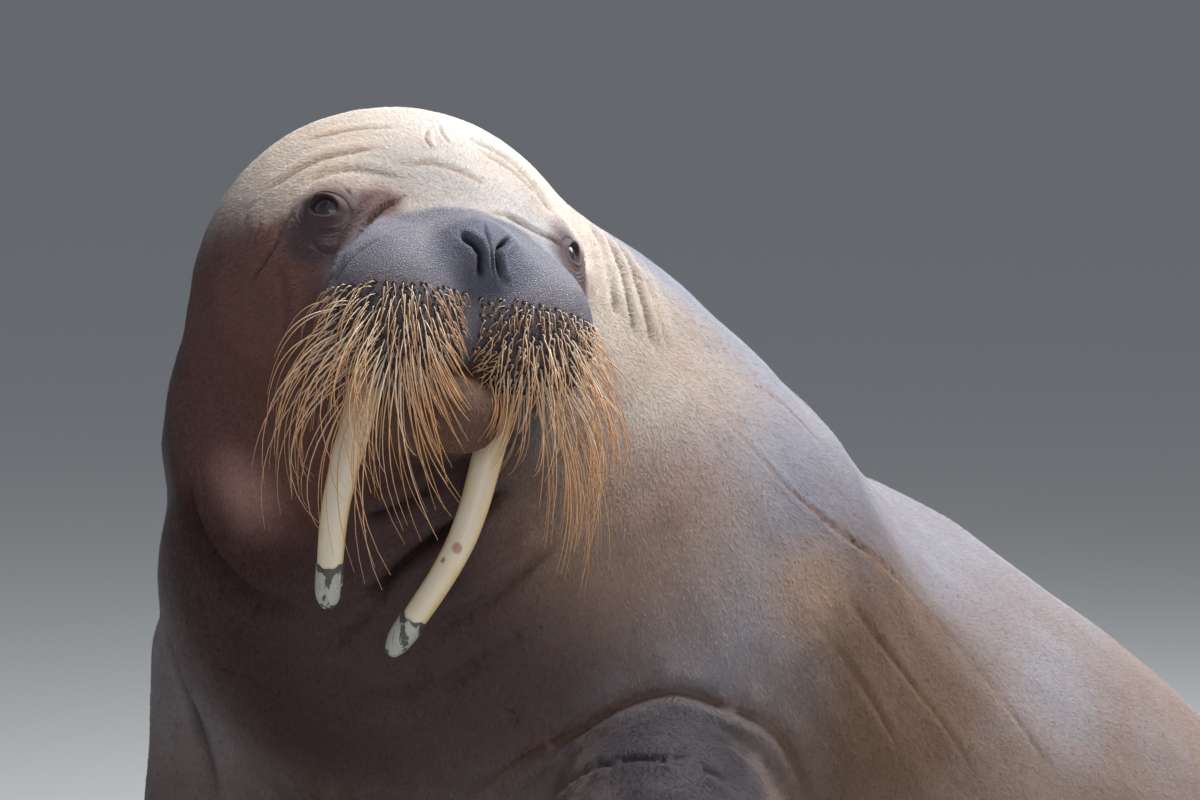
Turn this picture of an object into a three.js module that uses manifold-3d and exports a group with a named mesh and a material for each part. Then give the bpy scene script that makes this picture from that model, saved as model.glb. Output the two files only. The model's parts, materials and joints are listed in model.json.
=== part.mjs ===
// A walrus sitting up on its fore flippers with the head turned to its left, at life size.
// Units are millimetres, +Z is up, the hind end points along +Y and the animal's left side is +X.
// The origin is on the floor, under the belly.
import * as THREE from "three";
import { mergeVertices } from "three/addons/utils/BufferGeometryUtils.js";
import Module from "manifold-3d";

const wasm = await Module();
wasm.setup();

// The clearance between touching pieces
const GAP = 0.3;

// Facets: how many points go round each kind of form, and how many steps each station gets
const AROUND = { body: 34, limb: 16, lump: 16, tusk: 10, eye: 12 };
const STEPS = { body: 3, limb: 3, tusk: 10, dome: 5, flipper: 6, digit: 2 };

// Stations of the body from rump to crown: centre, turn to the left in degrees,
// and half-sizes to the side, towards the back and towards the belly
const BODY = [
  { centre: [0, 1110, 88], turn: 0, side: 112, back: 76, belly: 100 },
  { centre: [0, 930, 122], turn: 0, side: 190, back: 116, belly: 150 },
  { centre: [0, 690, 160], turn: 0, side: 262, back: 144, belly: 205 },
  { centre: [0, 350, 236], turn: 0, side: 332, back: 190, belly: 290 },
  { centre: [-5, 0, 318], turn: 2, side: 376, back: 308, belly: 350 },
  { centre: [-28, -230, 382], turn: 6, side: 382, back: 360, belly: 372 },
  { centre: [-66, -440, 482], turn: 12, side: 386, back: 352, belly: 350 },
  { centre: [-94, -602, 612], turn: 22, side: 396, back: 352, belly: 298 },
  { centre: [-98, -700, 740], turn: 32, side: 344, back: 370, belly: 245 },
  { centre: [-101, -765, 850], turn: 45, side: 292, back: 324, belly: 218 },
  { centre: [-100, -804, 922], turn: 55, side: 240, back: 250, belly: 208 },
];
const RUMP_DOME = 60;

// The head's own frame sits midway between the eyes: forward, left and up
const HEAD = {
  origin: [24, -882, 1040],
  turn: 61.5,
  lift: 14.5,
  roll: 11.5,
};

// Rounded masses of the head in its frame: centre and half-sizes along forward, left and up
const CRANIUM = { centre: [-159, 6, -51], half: [208, 206, 208] };
const FACE = { centre: [-50, 0, -66], half: [112, 146, 112] };
const CHEEK = { centre: [-80, 88, -112], half: [88, 74, 92] };
const PAD = { centre: [46, 72, -104], half: [62, 70, 80] };
const NOSE = { centre: [60, 0, -40], half: [46, 46, 38] };
const CHIN = { centre: [44, 8, -196], half: [44, 46, 40] };
const JAW = { centre: [-40, 0, -168], half: [84, 84, 62] };
const NAPE = { stations: [7.7, 8.3, 8.9, 9.45, 10], reach: 105, trim: 12 };

// The body's own skin dives under the head's from one station on, and ends at another in a dome
const BODY_END = { divesFrom: 8.3, dive: 20, station: 8.9, dome: 60 };

// How softly the masses of the head and of the jaw run into each other, where each is seen from,
// how fine its facets are, and how much finer they get towards the front
const HEAD_SKIN = { blend: 13, from: [-70, 0, -72], detail: 9, forwards: 0.45 };
const JAW_SKIN = { blend: 9, from: [0, 4, -180], detail: 4, forwards: 0.2 };

// How far ahead of the eyes the muzzle's piece begins
const MUZZLE_BACK = 4;

// Eyes, the raised lids round them and how far those part, the folds of the ears and the nostrils;
// the right ones mirror these
const EYE = { at: [-4, 130, -3], facesFrom: [-94, 0, -51], radius: 20, sink: 7 };
const LIDS = { half: [38, 17, 34], open: [14.5, 40, 10.5], openAhead: 26 };
const EAR = { towards: [-71, 183, -14], half: [12, 8, 18], pit: [6, 13, 10], pitAhead: 9 };
const NOSTRIL = { at: [112, 15, -41], half: [22, 4.5, 25], flare: 16 };

// Tusks in the head's frame: the curve from the root to the blunt end, with its half-widths
const TUSK = {
  left: { root: [20, 66, -150], exit: [16, 60, -190], bend: [-8, 42, -312], tip: [-65, -1, -425] },
  right: { root: [17, -80, -150], exit: [14, -85, -200], bend: [-4, -95, -292], tip: [-38, -82, -394] },
  deep: 18.5,
  broad: 16.5,
  taper: 0.72,
  capLength: 46,
  capProud: 1.2,
};

// Whiskers: rows down each pad and the number in a row, the part of the pad that they cover
// (angles from straight ahead, towards the outside, and above its middle, with the drop of a
// row towards the outside), the longest by the lip's middle and outside, and how they leave
const WHISKER = {
  rows: 7,
  inRow: 8,
  inner: -50,
  outer: 90,
  highest: 17,
  lowest: -63,
  rowDrop: 9,
  shortest: 20,
  longestInner: 85,
  longest: { left: 200, right: 250 },
  fan: { left: 0.62, right: 1.3 },
  rise: 0.62,
  droop: 0.62,
  curl: 0.34,
  rootRadius: 2.2,
  tipRadius: 0.5,
  sunk: 8,
  sides: 3,
  steps: 3,
  seed: 7,
};

// Cuts between the parts of the body, as stations along the spine
const CUTS = { neckToHead: 9.3, chestToNeck: 7.2, torsoToChest: 5.2, rumpToTorso: 2.9 };

// Fore limbs from inside the chest to the wrist: centre, side and depth half-sizes
const FORE_LIMB = {
  left: [
    { centre: [100, -600, 462], side: 105, depth: 150 },
    { centre: [200, -732, 372], side: 128, depth: 184 },
    { centre: [236, -778, 248], side: 112, depth: 156 },
    { centre: [262, -790, 140], side: 80, depth: 112 },
    { centre: [280, -785, 50], side: 64, depth: 96 },
  ],
  right: [
    { centre: [-290, -560, 690], side: 90, depth: 120 },
    { centre: [-364, -655, 600], side: 118, depth: 165 },
    { centre: [-332, -702, 455], side: 127, depth: 178 },
    { centre: [-355, -728, 285], side: 112, depth: 156 },
    { centre: [-384, -738, 140], side: 80, depth: 112 },
    { centre: [-398, -732, 50], side: 64, depth: 96 },
  ],
};
const FORE_HAND = {
  wrist: { left: [252, -785], right: [-370, -735] },
  heading: 24,
  length: 330,
  rootWidth: 104,
  tipWidth: 128,
  thickness: 62,
  edge: 9,
  digits: 5,
  digitLengths: [1.0, 0.95, 0.86, 0.76, 0.66],
};

// Hind limbs from inside the rump to the ankle
const HIND_STATIONS = [
  { centre: [130, 985, 120], side: 80, depth: 90 },
  { centre: [205, 1010, 88], side: 62, depth: 76 },
  { centre: [262, 985, 52], side: 46, depth: 60 },
];
const HIND_LIMB = {
  left: HIND_STATIONS,
  right: HIND_STATIONS.map((s) => ({ ...s, centre: [-s.centre[0], s.centre[1], s.centre[2]] })),
};
const HIND_HAND = {
  wrist: { left: [238, 990], right: [-238, 990] },
  heading: -42,
  length: 345,
  rootWidth: 58,
  tipWidth: 165,
  thickness: 52,
  edge: 8,
  digits: 5,
  digitLengths: [1.0, 0.9, 0.86, 0.9, 1.0],
};
const NAIL = { length: 20, radius: 4.5, inset: 42 };
const TAIL = { centre: [0, 1178, 62], half: [40, 60, 22] };

const FINISHES = {
  hide: { color: 0x6e5346, roughness: 0.75, metalness: 0 },
  muzzle: { color: 0x6f6f78, roughness: 0.7, metalness: 0 },
  flipper: { color: 0x4a444a, roughness: 0.75, metalness: 0 },
  ivory: { color: 0xe8cf9c, roughness: 0.35, metalness: 0 },
  metal: { color: 0x6d6d68, roughness: 0.45, metalness: 0.8 },
  eye: { color: 0x1d1512, roughness: 0.05, metalness: 0 },
};

const radians = THREE.MathUtils.degToRad;

// A copy with nothing but positions, so that points in one place can be merged
function bareCopy(geometry) {
  const bare = geometry.index ? geometry.toNonIndexed() : geometry.clone();
  bare.deleteAttribute("normal");
  bare.deleteAttribute("uv");
  return bare;
}

// Turns a closed three.js geometry into a solid
function solidOf(geometry) {
  const merged = mergeVertices(bareCopy(geometry), 1e-3);
  return new wasm.Manifold(
    new wasm.Mesh({
      numProp: 3,
      vertProperties: new Float32Array(merged.attributes.position.array),
      triVerts: new Uint32Array(merged.index.array),
    }),
  );
}

// The largest closed surface of a solid, as a geometry
function geometryOf(solid) {
  const largest = solid.decompose().sort((a, b) => b.volume() - a.volume())[0];
  const mesh = largest.getMesh();
  const geometry = new THREE.BufferGeometry();
  const positions = new Float32Array(mesh.numVert * 3);
  for (let i = 0; i < mesh.numVert; i++)
    for (let k = 0; k < 3; k++) positions[i * 3 + k] = mesh.vertProperties[i * mesh.numProp + k];
  geometry.setAttribute("position", new THREE.BufferAttribute(positions, 3));
  geometry.setIndex(new THREE.BufferAttribute(new Uint32Array(mesh.triVerts), 1));
  return geometry;
}

const joined = (solids) => solids.reduce((whole, piece) => whole.add(piece));
const vector = (values) => new THREE.Vector3(...values);

// A closed skin over rings of points, from a pole before the first ring to one past the last
function closedSkin(rings, firstPole, lastPole) {
  const points = [firstPole, ...rings.flat(), lastPole];
  const around = rings[0].length;
  const at = (ring, j) => 1 + ring * around + (j % around);
  const faces = [];
  for (let j = 0; j < around; j++) {
    faces.push(0, at(0, j + 1), at(0, j));
    faces.push(points.length - 1, at(rings.length - 1, j), at(rings.length - 1, j + 1));
    for (let i = 0; i + 1 < rings.length; i++) {
      faces.push(at(i, j), at(i, j + 1), at(i + 1, j + 1));
      faces.push(at(i, j), at(i + 1, j + 1), at(i + 1, j));
    }
  }
  const geometry = new THREE.BufferGeometry().setFromPoints(points);
  geometry.setIndex(faces);
  return geometry;
}

// The spine of the body as smooth curves through its stations
const spine = {
  centre: new THREE.CatmullRomCurve3(BODY.map((s) => vector(s.centre)), false, "catmullrom", 0.5),
  sizes: new THREE.CatmullRomCurve3(
    BODY.map((s) => new THREE.Vector3(s.side, s.back, s.belly)), false, "catmullrom", 0.5,
  ),
  turn: new THREE.CatmullRomCurve3(
    BODY.map((s) => new THREE.Vector3(s.turn, 0, 0)), false, "catmullrom", 0.5,
  ),
};

// Centre, axes and half-sizes of the body at a station, which may lie between two of the table
function bodySection(station) {
  const t = station / (BODY.length - 1);
  const forward = spine.centre.getTangent(t).normalize();
  const turn = radians(spine.turn.getPoint(t).x);
  const left = new THREE.Vector3(Math.cos(turn), Math.sin(turn), 0);
  left.addScaledVector(forward, -left.dot(forward)).normalize();
  const back = new THREE.Vector3().crossVectors(forward, left);
  return { centre: spine.centre.getPoint(t), forward, left, back, sizes: spine.sizes.getPoint(t) };
}

function sectionRing(section, shrink, shift, grow) {
  const { centre, forward, left, back, sizes } = section;
  return Array.from({ length: AROUND.body }, (_, j) => {
    const angle = (2 * Math.PI * j) / AROUND.body;
    const deep = Math.sin(angle) > 0 ? sizes.y : sizes.z;
    return centre.clone()
      .addScaledVector(forward, shift)
      .addScaledVector(left, Math.cos(angle) * (sizes.x * shrink + grow))
      .addScaledVector(back, Math.sin(angle) * (deep * shrink + grow));
  });
}

// The whole body from the rump to inside the head, grown outwards where a neighbour is cut by it
function bodySolid(grow = 0) {
  const last = BODY_END.station;
  const rings = [];
  const first = bodySection(0);
  const end = bodySection(last);
  for (let k = 1; k < STEPS.dome; k++) {
    const angle = (Math.PI / 2) * (k / STEPS.dome);
    rings.push(sectionRing(first, Math.sin(angle), -Math.cos(angle) * RUMP_DOME, grow));
  }
  const count = Math.round(last * STEPS.body);
  for (let i = 0; i <= count; i++) {
    const station = (last * i) / count;
    const dived = Math.max(0, (station - BODY_END.divesFrom) / (last - BODY_END.divesFrom));
    rings.push(sectionRing(bodySection(station), 1, 0, grow - BODY_END.dive * dived));
  }
  for (let k = 1; k < STEPS.dome; k++) {
    const angle = (Math.PI / 2) * (k / STEPS.dome);
    const inset = grow - BODY_END.dive * Math.cos(angle);
    rings.push(sectionRing(end, Math.cos(angle), Math.sin(angle) * BODY_END.dome, inset));
  }
  const rump = first.centre.clone().addScaledVector(first.forward, -RUMP_DOME - grow);
  const crown = end.centre.clone().addScaledVector(end.forward, BODY_END.dome + grow);
  return solidOf(closedSkin(rings, rump, crown)).trimByPlane([0, 0, 1], 0);
}

// Keeps what lies headwards of a station, or with side -1 what lies tailwards, less a clearance
function cutAt(solid, station, side, clearance = GAP / 2) {
  const { centre, forward } = bodySection(station);
  const normal = forward.clone().multiplyScalar(side);
  return solid.trimByPlane(normal.toArray(), normal.dot(centre) + clearance);
}

// The head's frame in the world
const headFrame = (() => {
  const [turn, lift, roll] = [HEAD.turn, HEAD.lift, HEAD.roll].map(radians);
  const forward = new THREE.Vector3(
    Math.sin(turn) * Math.cos(lift), -Math.cos(turn) * Math.cos(lift), Math.sin(lift),
  );
  const level = new THREE.Vector3(Math.cos(turn), Math.sin(turn), 0);
  const upright = new THREE.Vector3().crossVectors(forward, level);
  const left = level.clone().multiplyScalar(Math.cos(roll)).addScaledVector(upright, -Math.sin(roll));
  const up = upright.clone().multiplyScalar(Math.cos(roll)).addScaledVector(level, Math.sin(roll));
  return new THREE.Matrix4().makeBasis(forward, left, up).setPosition(...HEAD.origin);
})();
const inHead = (values) => vector(values).applyMatrix4(headFrame);
const SIDES = { left: 1, right: -1 };
const FORWARDS = [1, 0, 0];
const UPWARDS = [0, 0, 1];
const mirrored = ([f, l, u]) => [f, -l, u];
const sided = (values, side) => (side > 0 ? values : mirrored(values));

// A rounded mass in the head's frame, turned about an axis by an angle where it is given one
function lump({ centre, half }, grow = 0, around = AROUND.lump, turnAxis = UPWARDS, angle = 0) {
  const sphere = new THREE.SphereGeometry(1, around, Math.round(around * 0.6));
  const place = new THREE.Matrix4().makeTranslation(...centre);
  place.multiply(new THREE.Matrix4().makeRotationAxis(vector(turnAxis), angle));
  place.scale(new THREE.Vector3(half[0] + grow, half[1] + grow, half[2] + grow));
  return solidOf(sphere.applyMatrix4(headFrame.clone().multiply(place)));
}

// The frame and half-sizes of a mass in the world
function placed({ centre, half }) {
  const frame = headFrame.clone().multiply(new THREE.Matrix4().makeTranslation(...centre));
  return { inverse: frame.clone().invert(), half: vector(half) };
}

// Roughly how far a point lies outside a rounded mass
function distanceTo({ inverse, half }, point) {
  const local = point.clone().applyMatrix4(inverse);
  const scaled = local.clone().divide(half);
  const steep = scaled.clone().divide(half).length();
  const size = scaled.length();
  return steep < 1e-9 ? -half.x : (size * (size - 1)) / steep;
}

// The outermost point of the blended masses along a ray
function skinPoint(masses, blend, origin, ray, grow) {
  const along = (reach) => origin.clone().addScaledVector(ray, reach);
  const outside = (reach) => {
    const point = along(reach);
    const pulls = masses.map((mass) => Math.exp(-distanceTo(mass, point) / blend));
    return -blend * Math.log(pulls.reduce((total, pull) => total + pull)) > grow;
  };
  let far = 480;
  while (outside(far - 8)) far -= 8;
  let near = far - 8;
  for (let k = 0; k < 14; k++) {
    const middle = (near + far) / 2;
    if (outside(middle)) far = middle;
    else near = middle;
  }
  return along(near);
}

// One smooth skin over several masses
function blendedSkin(masses, { blend, from, detail, forwards }, grow = 0) {
  const origin = inHead(from);
  const ahead = new THREE.Vector3().setFromMatrixColumn(headFrame, 0);
  const geometry = mergeVertices(bareCopy(new THREE.IcosahedronGeometry(1, detail)), 1e-4);
  const spots = geometry.attributes.position;
  for (let i = 0; i < spots.count; i++) {
    const ray = new THREE.Vector3().fromBufferAttribute(spots, i);
    ray.addScaledVector(ahead, forwards).normalize();
    spots.setXYZ(i, ...skinPoint(masses, blend, origin, ray, grow).toArray());
  }
  return solidOf(geometry);
}

// A tapered tube along points, flat at the start, and bulging past its last point by a share
// of its radius
function taperedTube(points, radii, sides, sideHint = new THREE.Vector3(0, 0, 1), bulge = 0.6) {
  const rings = points.map((point, i) => {
    const after = points[Math.min(i + 1, points.length - 1)];
    const along = after.clone().sub(points[Math.max(i - 1, 0)]).normalize();
    const across = new THREE.Vector3().crossVectors(sideHint, along).normalize();
    const over = new THREE.Vector3().crossVectors(along, across);
    return Array.from({ length: sides }, (_, j) => {
      const angle = (2 * Math.PI * j) / sides;
      return point.clone()
        .addScaledVector(across, Math.cos(angle) * radii[i][0])
        .addScaledVector(over, Math.sin(angle) * radii[i][1]);
    });
  });
  const last = points[points.length - 1];
  const end = last.clone().sub(points[points.length - 2]).normalize();
  const tip = last.clone().addScaledVector(end, radii[radii.length - 1][0] * bulge);
  return solidOf(closedSkin(rings, points[0].clone(), tip));
}

const tuskCurve = (side) => {
  const { root, exit, bend, tip } = TUSK[side];
  return new THREE.CatmullRomCurve3([root, exit, bend, tip].map(inHead));
};

// A tusk from a share of its length down to the tip, grown outwards where it is asked for
function tuskSolid(side, from, grow) {
  const curve = tuskCurve(side);
  const steps = Math.ceil(STEPS.tusk * (1 - from));
  const shares = Array.from({ length: steps + 1 }, (_, i) => from + ((1 - from) * i) / steps);
  shares.splice(steps, 0, 1 - 0.02, 1 - 0.008);
  const points = shares.map((share) => curve.getPointAt(share));
  const radii = shares.map((share) => {
    const blunt = Math.sqrt(1 - Math.max(0, (share - 0.92) / 0.1) ** 2);
    const size = THREE.MathUtils.lerp(1, TUSK.taper, share) * blunt;
    return [TUSK.broad * size + grow, TUSK.deep * size + grow];
  });
  if (grow >= GAP) points[0].addScaledVector(curve.getTangentAt(from), -GAP);
  const forward = new THREE.Vector3().setFromMatrixColumn(headFrame, 0);
  return taperedTube(points, radii, AROUND.tusk, forward, 0.2);
}

// Repeatable numbers between 0 and 1
function seeded(seed) {
  let state = seed;
  return () => {
    state = (state * 16807) % 2147483647;
    return state / 2147483647;
  };
}

// The curve of one whisker: it leaves its pad squarely, bends down under its own weight
// and curls in at the tip; across runs from the lip's middle outwards, and down from the top row
function whiskerPath(name, across, down, vary) {
  const side = SIDES[name];
  const { lerp, smoothstep } = THREE.MathUtils;
  const turn = radians(lerp(WHISKER.inner, WHISKER.outer, across));
  const drop = WHISKER.rowDrop * across * (1 - 0.45 * down);
  const lift = radians(lerp(WHISKER.highest, WHISKER.lowest, down) - drop);
  const dir = [Math.cos(lift) * Math.cos(turn), Math.cos(lift) * Math.sin(turn), Math.sin(lift)];
  const root = sided(dir.map((d, k) => PAD.centre[k] + d * PAD.half[k]), side);
  const square = dir.map((d, k) => d / PAD.half[k]);
  const out = vector(sided(square, side)).transformDirection(headFrame);
  const reach = (0.05 + 0.95 * down ** (1.15 - 0.45 * across)) * (1 - 0.14 * smoothstep(down, 0.8, 1));
  const longest = lerp(WHISKER.longestInner, WHISKER.longest[name], smoothstep(across, 0, 0.7));
  const length = lerp(WHISKER.shortest, longest, reach) * (0.8 + 0.3 * vary);
  const fall = new THREE.Vector3(0, 0, -1);
  const outward = vector([0, side, 0]).transformDirection(headFrame);
  const start = out.clone().multiplyScalar(WHISKER.rise)
    .addScaledVector(fall, WHISKER.droop)
    .addScaledVector(outward, WHISKER.fan[name] * (across - 0.25) * (0.7 + 0.55 * down))
    .normalize();
  const curl = -WHISKER.curl * (1 - 0.75 * across) * smoothstep(down, 0.15, 0.6);
  return Array.from({ length: WHISKER.steps + 1 }, (_, i) => {
    const s = i / WHISKER.steps;
    return inHead(root)
      .addScaledVector(out, i === 0 ? -WHISKER.sunk : 0)
      .addScaledVector(start, length * (s - 0.4 * s * s))
      .addScaledVector(fall, length * 0.52 * s * s)
      .addScaledVector(outward, length * curl * s ** 3);
  });
}

function whiskers(name) {
  const random = seeded(WHISKER.seed + SIDES[name]);
  const all = [];
  for (let row = 0; row < WHISKER.rows; row++) {
    const count = WHISKER.inRow - (row % 2);
    for (let k = 0; k < count; k++) {
      const across = (k + 0.3 + 0.4 * random()) / count;
      const down = (row + 0.3 + 0.4 * random()) / WHISKER.rows;
      const points = whiskerPath(name, across, down, random());
      const radii = points.map((_, i) => {
        const r = THREE.MathUtils.lerp(WHISKER.rootRadius, WHISKER.tipRadius, i / WHISKER.steps);
        return [r, r];
      });
      all.push(taperedTube(points, radii, WHISKER.sides));
    }
  }
  return all;
}

// A limb along its stations, from inside the body to the wrist
function limbSolid(stations, grow = 0) {
  const centres = stations.map((s) => vector(s.centre));
  const curve = new THREE.CatmullRomCurve3(centres, false, "catmullrom", 0.5);
  const sizes = new THREE.CatmullRomCurve3(
    stations.map((s) => new THREE.Vector3(s.side, s.depth, 0)), false, "catmullrom", 0.5,
  );
  const points = [];
  const radii = [];
  const count = (stations.length - 1) * STEPS.limb;
  for (let i = 0; i <= count; i++) {
    points.push(curve.getPoint(i / count));
    const size = sizes.getPoint(i / count);
    radii.push([size.y + grow, size.x + grow]);
  }
  const outwards = new THREE.Vector3(1, 0, 0);
  return taperedTube(points, radii, AROUND.limb, outwards).trimByPlane([0, 0, 1], 0);
}

// A flipper laid flat on the floor: a plate with a ridge over each digit and a lobed edge
function flipperSolid(hand, name, side) {
  const heading = radians(hand.heading);
  const along = new THREE.Vector3(side * Math.cos(heading), Math.sin(heading), 0);
  const across = new THREE.Vector3(-along.y, along.x, 0).multiplyScalar(side);
  const wrist = new THREE.Vector3(...hand.wrist[name], 0);
  const lanes = hand.digits * STEPS.digit;
  const steps = STEPS.flipper;
  const lengths = new THREE.SplineCurve(
    hand.digitLengths.map((share, i) => new THREE.Vector2(i, share)),
  );
  const top = [];
  const bottom = [];
  for (let i = 0; i <= steps; i++) {
    const s = i / steps;
    const width = THREE.MathUtils.lerp(hand.rootWidth, hand.tipWidth, Math.sin((s * Math.PI) / 2));
    top.push([]);
    bottom.push([]);
    for (let j = 0; j <= lanes; j++) {
      const x = (j / lanes) * 2 - 1;
      const ridge = 0.5 - 0.5 * Math.cos((j / lanes) * hand.digits * 2 * Math.PI);
      const reach = lengths.getPoint(j / lanes).y * (1 - 0.07 * s * (1 - ridge));
      const spot = wrist.clone()
        .addScaledVector(along, hand.length * s * reach)
        .addScaledVector(across, -x * width);
      const sideFall = Math.sqrt(Math.max(0, 1 - x ** 4));
      const tipFall = Math.sqrt(Math.max(0, 1 - s ** 5));
      const thick = hand.thickness * (1 - 0.62 * s) * sideFall * tipFall * (0.82 + 0.18 * ridge);
      top[i].push(spot.clone().setZ(Math.max(hand.edge, thick)));
      bottom[i].push(spot.clone());
    }
  }
  const nails = Array.from({ length: hand.digits }, (_, digit) => {
    const lane = Math.round((digit + 0.5) * STEPS.digit);
    const tip = top[steps][lane].clone().addScaledVector(along, -NAIL.inset).setZ(hand.edge + 2);
    const end = tip.clone().addScaledVector(along, NAIL.length).setZ(hand.edge + 4);
    return taperedTube([tip, end], [[NAIL.radius, NAIL.radius], [2, 2]], 5);
  });
  return joined([solidOf(plateSkin(top, bottom, side)), ...nails]);
}

// A closed skin over matching top and bottom grids
function plateSkin(top, bottom, side) {
  const rows = top.length;
  const columns = top[0].length;
  const right = columns - 1;
  const points = [...top.flat(), ...bottom.flat()];
  const upper = (i, j) => i * columns + j;
  const lower = (i, j) => rows * columns + i * columns + j;
  const faces = [];
  const quad = (a, b, c, d) => {
    if (side > 0) faces.push(a, b, c, a, c, d);
    else faces.push(a, c, b, a, d, c);
  };
  for (let i = 0; i + 1 < rows; i++) {
    for (let j = 0; j + 1 < columns; j++) {
      quad(upper(i, j), upper(i, j + 1), upper(i + 1, j + 1), upper(i + 1, j));
      quad(lower(i, j), lower(i + 1, j), lower(i + 1, j + 1), lower(i, j + 1));
    }
    quad(upper(i, 0), upper(i + 1, 0), lower(i + 1, 0), lower(i, 0));
    quad(upper(i, right), lower(i, right), lower(i + 1, right), upper(i + 1, right));
  }
  for (let j = 0; j + 1 < columns; j++) {
    quad(upper(0, j), lower(0, j), lower(0, j + 1), upper(0, j + 1));
    quad(upper(rows - 1, j), upper(rows - 1, j + 1), lower(rows - 1, j + 1), lower(rows - 1, j));
  }
  const geometry = new THREE.BufferGeometry().setFromPoints(points);
  geometry.setIndex(faces);
  return geometry;
}

// Keeps the part of a solid before (side 1) or behind (side -1) a plane across the head
function cutHead(solid, forwardAt, side, clearance) {
  const forward = new THREE.Vector3().setFromMatrixColumn(headFrame, 0);
  const point = inHead([forwardAt, 0, 0]);
  const normal = forward.multiplyScalar(side);
  return solid.trimByPlane(normal.toArray(), normal.dot(point) + clearance);
}

const walrus = new THREE.Group();

function addNode(name, solid, finish) {
  const { color, roughness, metalness } = FINISHES[finish];
  const material = new THREE.MeshStandardMaterial({ color, roughness, metalness });
  const mesh = new THREE.Mesh(geometryOf(solid), material);
  mesh.name = name;
  walrus.add(mesh);
}

// A mass and its mirror image on the other side of the face
function both(mass) {
  return Object.values(SIDES).map((side) => ({ ...mass, centre: sided(mass.centre, side) }));
}

// The end of the neck as masses of its own, so that the head runs smoothly into it
const nape = NAPE.stations.map((station) => {
  const { centre, forward, left, back, sizes } = bodySection(station);
  const frame = new THREE.Matrix4().makeBasis(left, back, forward);
  frame.setPosition(centre.addScaledVector(back, (sizes.y - sizes.z) / 2));
  const deep = (sizes.y + sizes.z) / 2;
  const half = new THREE.Vector3(sizes.x - NAPE.trim, deep - NAPE.trim, NAPE.reach);
  return { inverse: frame.invert(), half };
});
const headMasses = [CRANIUM, FACE, NOSE, ...both(CHEEK), ...both(PAD)].map(placed);
const jawMasses = [CHIN, JAW].map(placed);

const skull = blendedSkin([...headMasses, ...nape], HEAD_SKIN);
const skullGrown = blendedSkin([...headMasses, ...nape], HEAD_SKIN, GAP);
const trunk = bodySolid();
const trunkGrown = bodySolid(GAP);
const body = trunk.add(skull);
const bodyGrown = trunkGrown.add(skullGrown);
const jaw = blendedSkin(jawMasses, JAW_SKIN);
const jawGrown = blendedSkin(jawMasses, JAW_SKIN, GAP);

// Eyes with their lids, and what cuts the sockets
function eyeParts(side) {
  const at = sided(EYE.at, side);
  const outward = vector(at).sub(vector(EYE.facesFrom)).normalize();
  const globe = {
    centre: vector(at).addScaledVector(outward, -EYE.sink).toArray(),
    half: Array(3).fill(EYE.radius),
  };
  const opening = {
    centre: vector(at).addScaledVector(outward, LIDS.openAhead).toArray(),
    half: LIDS.open,
  };
  const swing = -side * Math.atan2(outward.x, Math.abs(outward.y));
  return {
    globe: lump(globe, 0, AROUND.eye),
    socket: lump(globe, GAP, AROUND.eye),
    lids: lump({ centre: at, half: LIDS.half }, 0, AROUND.lump, UPWARDS, swing),
    opening: lump(opening, 0, AROUND.lump, UPWARDS, swing),
  };
}
const eyes = Object.fromEntries(Object.entries(SIDES).map(([name, side]) => [name, eyeParts(side)]));

const tusks = Object.fromEntries(
  Object.keys(SIDES).map((name) => {
    const curve = tuskCurve(name);
    const share = 1 - TUSK.capLength / curve.getLength();
    const along = curve.getTangentAt(share);
    const edge = along.dot(curve.getPointAt(share));
    const whole = tuskSolid(name, 0, 0);
    const proud = tuskSolid(name, share - 0.03, TUSK.capProud);
    return [name, {
      ivory: whole.trimByPlane(along.clone().negate().toArray(), -edge),
      cap: proud.trimByPlane(along.toArray(), edge + GAP),
      grown: tuskSolid(name, 0, GAP).add(tuskSolid(name, share - 0.03, TUSK.capProud + GAP)),
    }];
  }),
);
const tusksGrown = joined(Object.values(tusks).map((t) => t.grown));

// Where an ear sits on the head's skin, in the head's frame
function earSpot(side) {
  const origin = inHead(HEAD_SKIN.from);
  const ray = inHead(sided(EAR.towards, side)).sub(origin).normalize();
  const point = skinPoint([...headMasses, ...nape], HEAD_SKIN.blend, origin, ray, 0);
  return point.applyMatrix4(headFrame.clone().invert()).toArray();
}

// Head: the top of the body behind the muzzle, with its ears, lids and sockets
let head = cutAt(cutHead(skull, MUZZLE_BACK, -1, GAP / 2).add(trunk), CUTS.neckToHead, 1);
head = head.subtract(jawGrown).subtract(tusksGrown);
for (const [name, side] of Object.entries(SIDES)) {
  const { lids, socket, opening } = eyes[name];
  head = head.add(cutHead(lids, MUZZLE_BACK, -1, GAP / 2)).subtract(socket).subtract(opening);
  const [ahead, out, up] = earSpot(side);
  const fold = lump({ centre: [ahead, out, up], half: EAR.half }, 0, 9);
  const pit = lump({ centre: [ahead + EAR.pitAhead, out, up], half: EAR.pit }, 0, 8);
  head = head.subtract(pit);
  addNode(`ear_${name}`, fold.subtract(pit).subtract(skullGrown).subtract(trunkGrown), "hide");
}
addNode("head", head, "hide");

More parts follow.
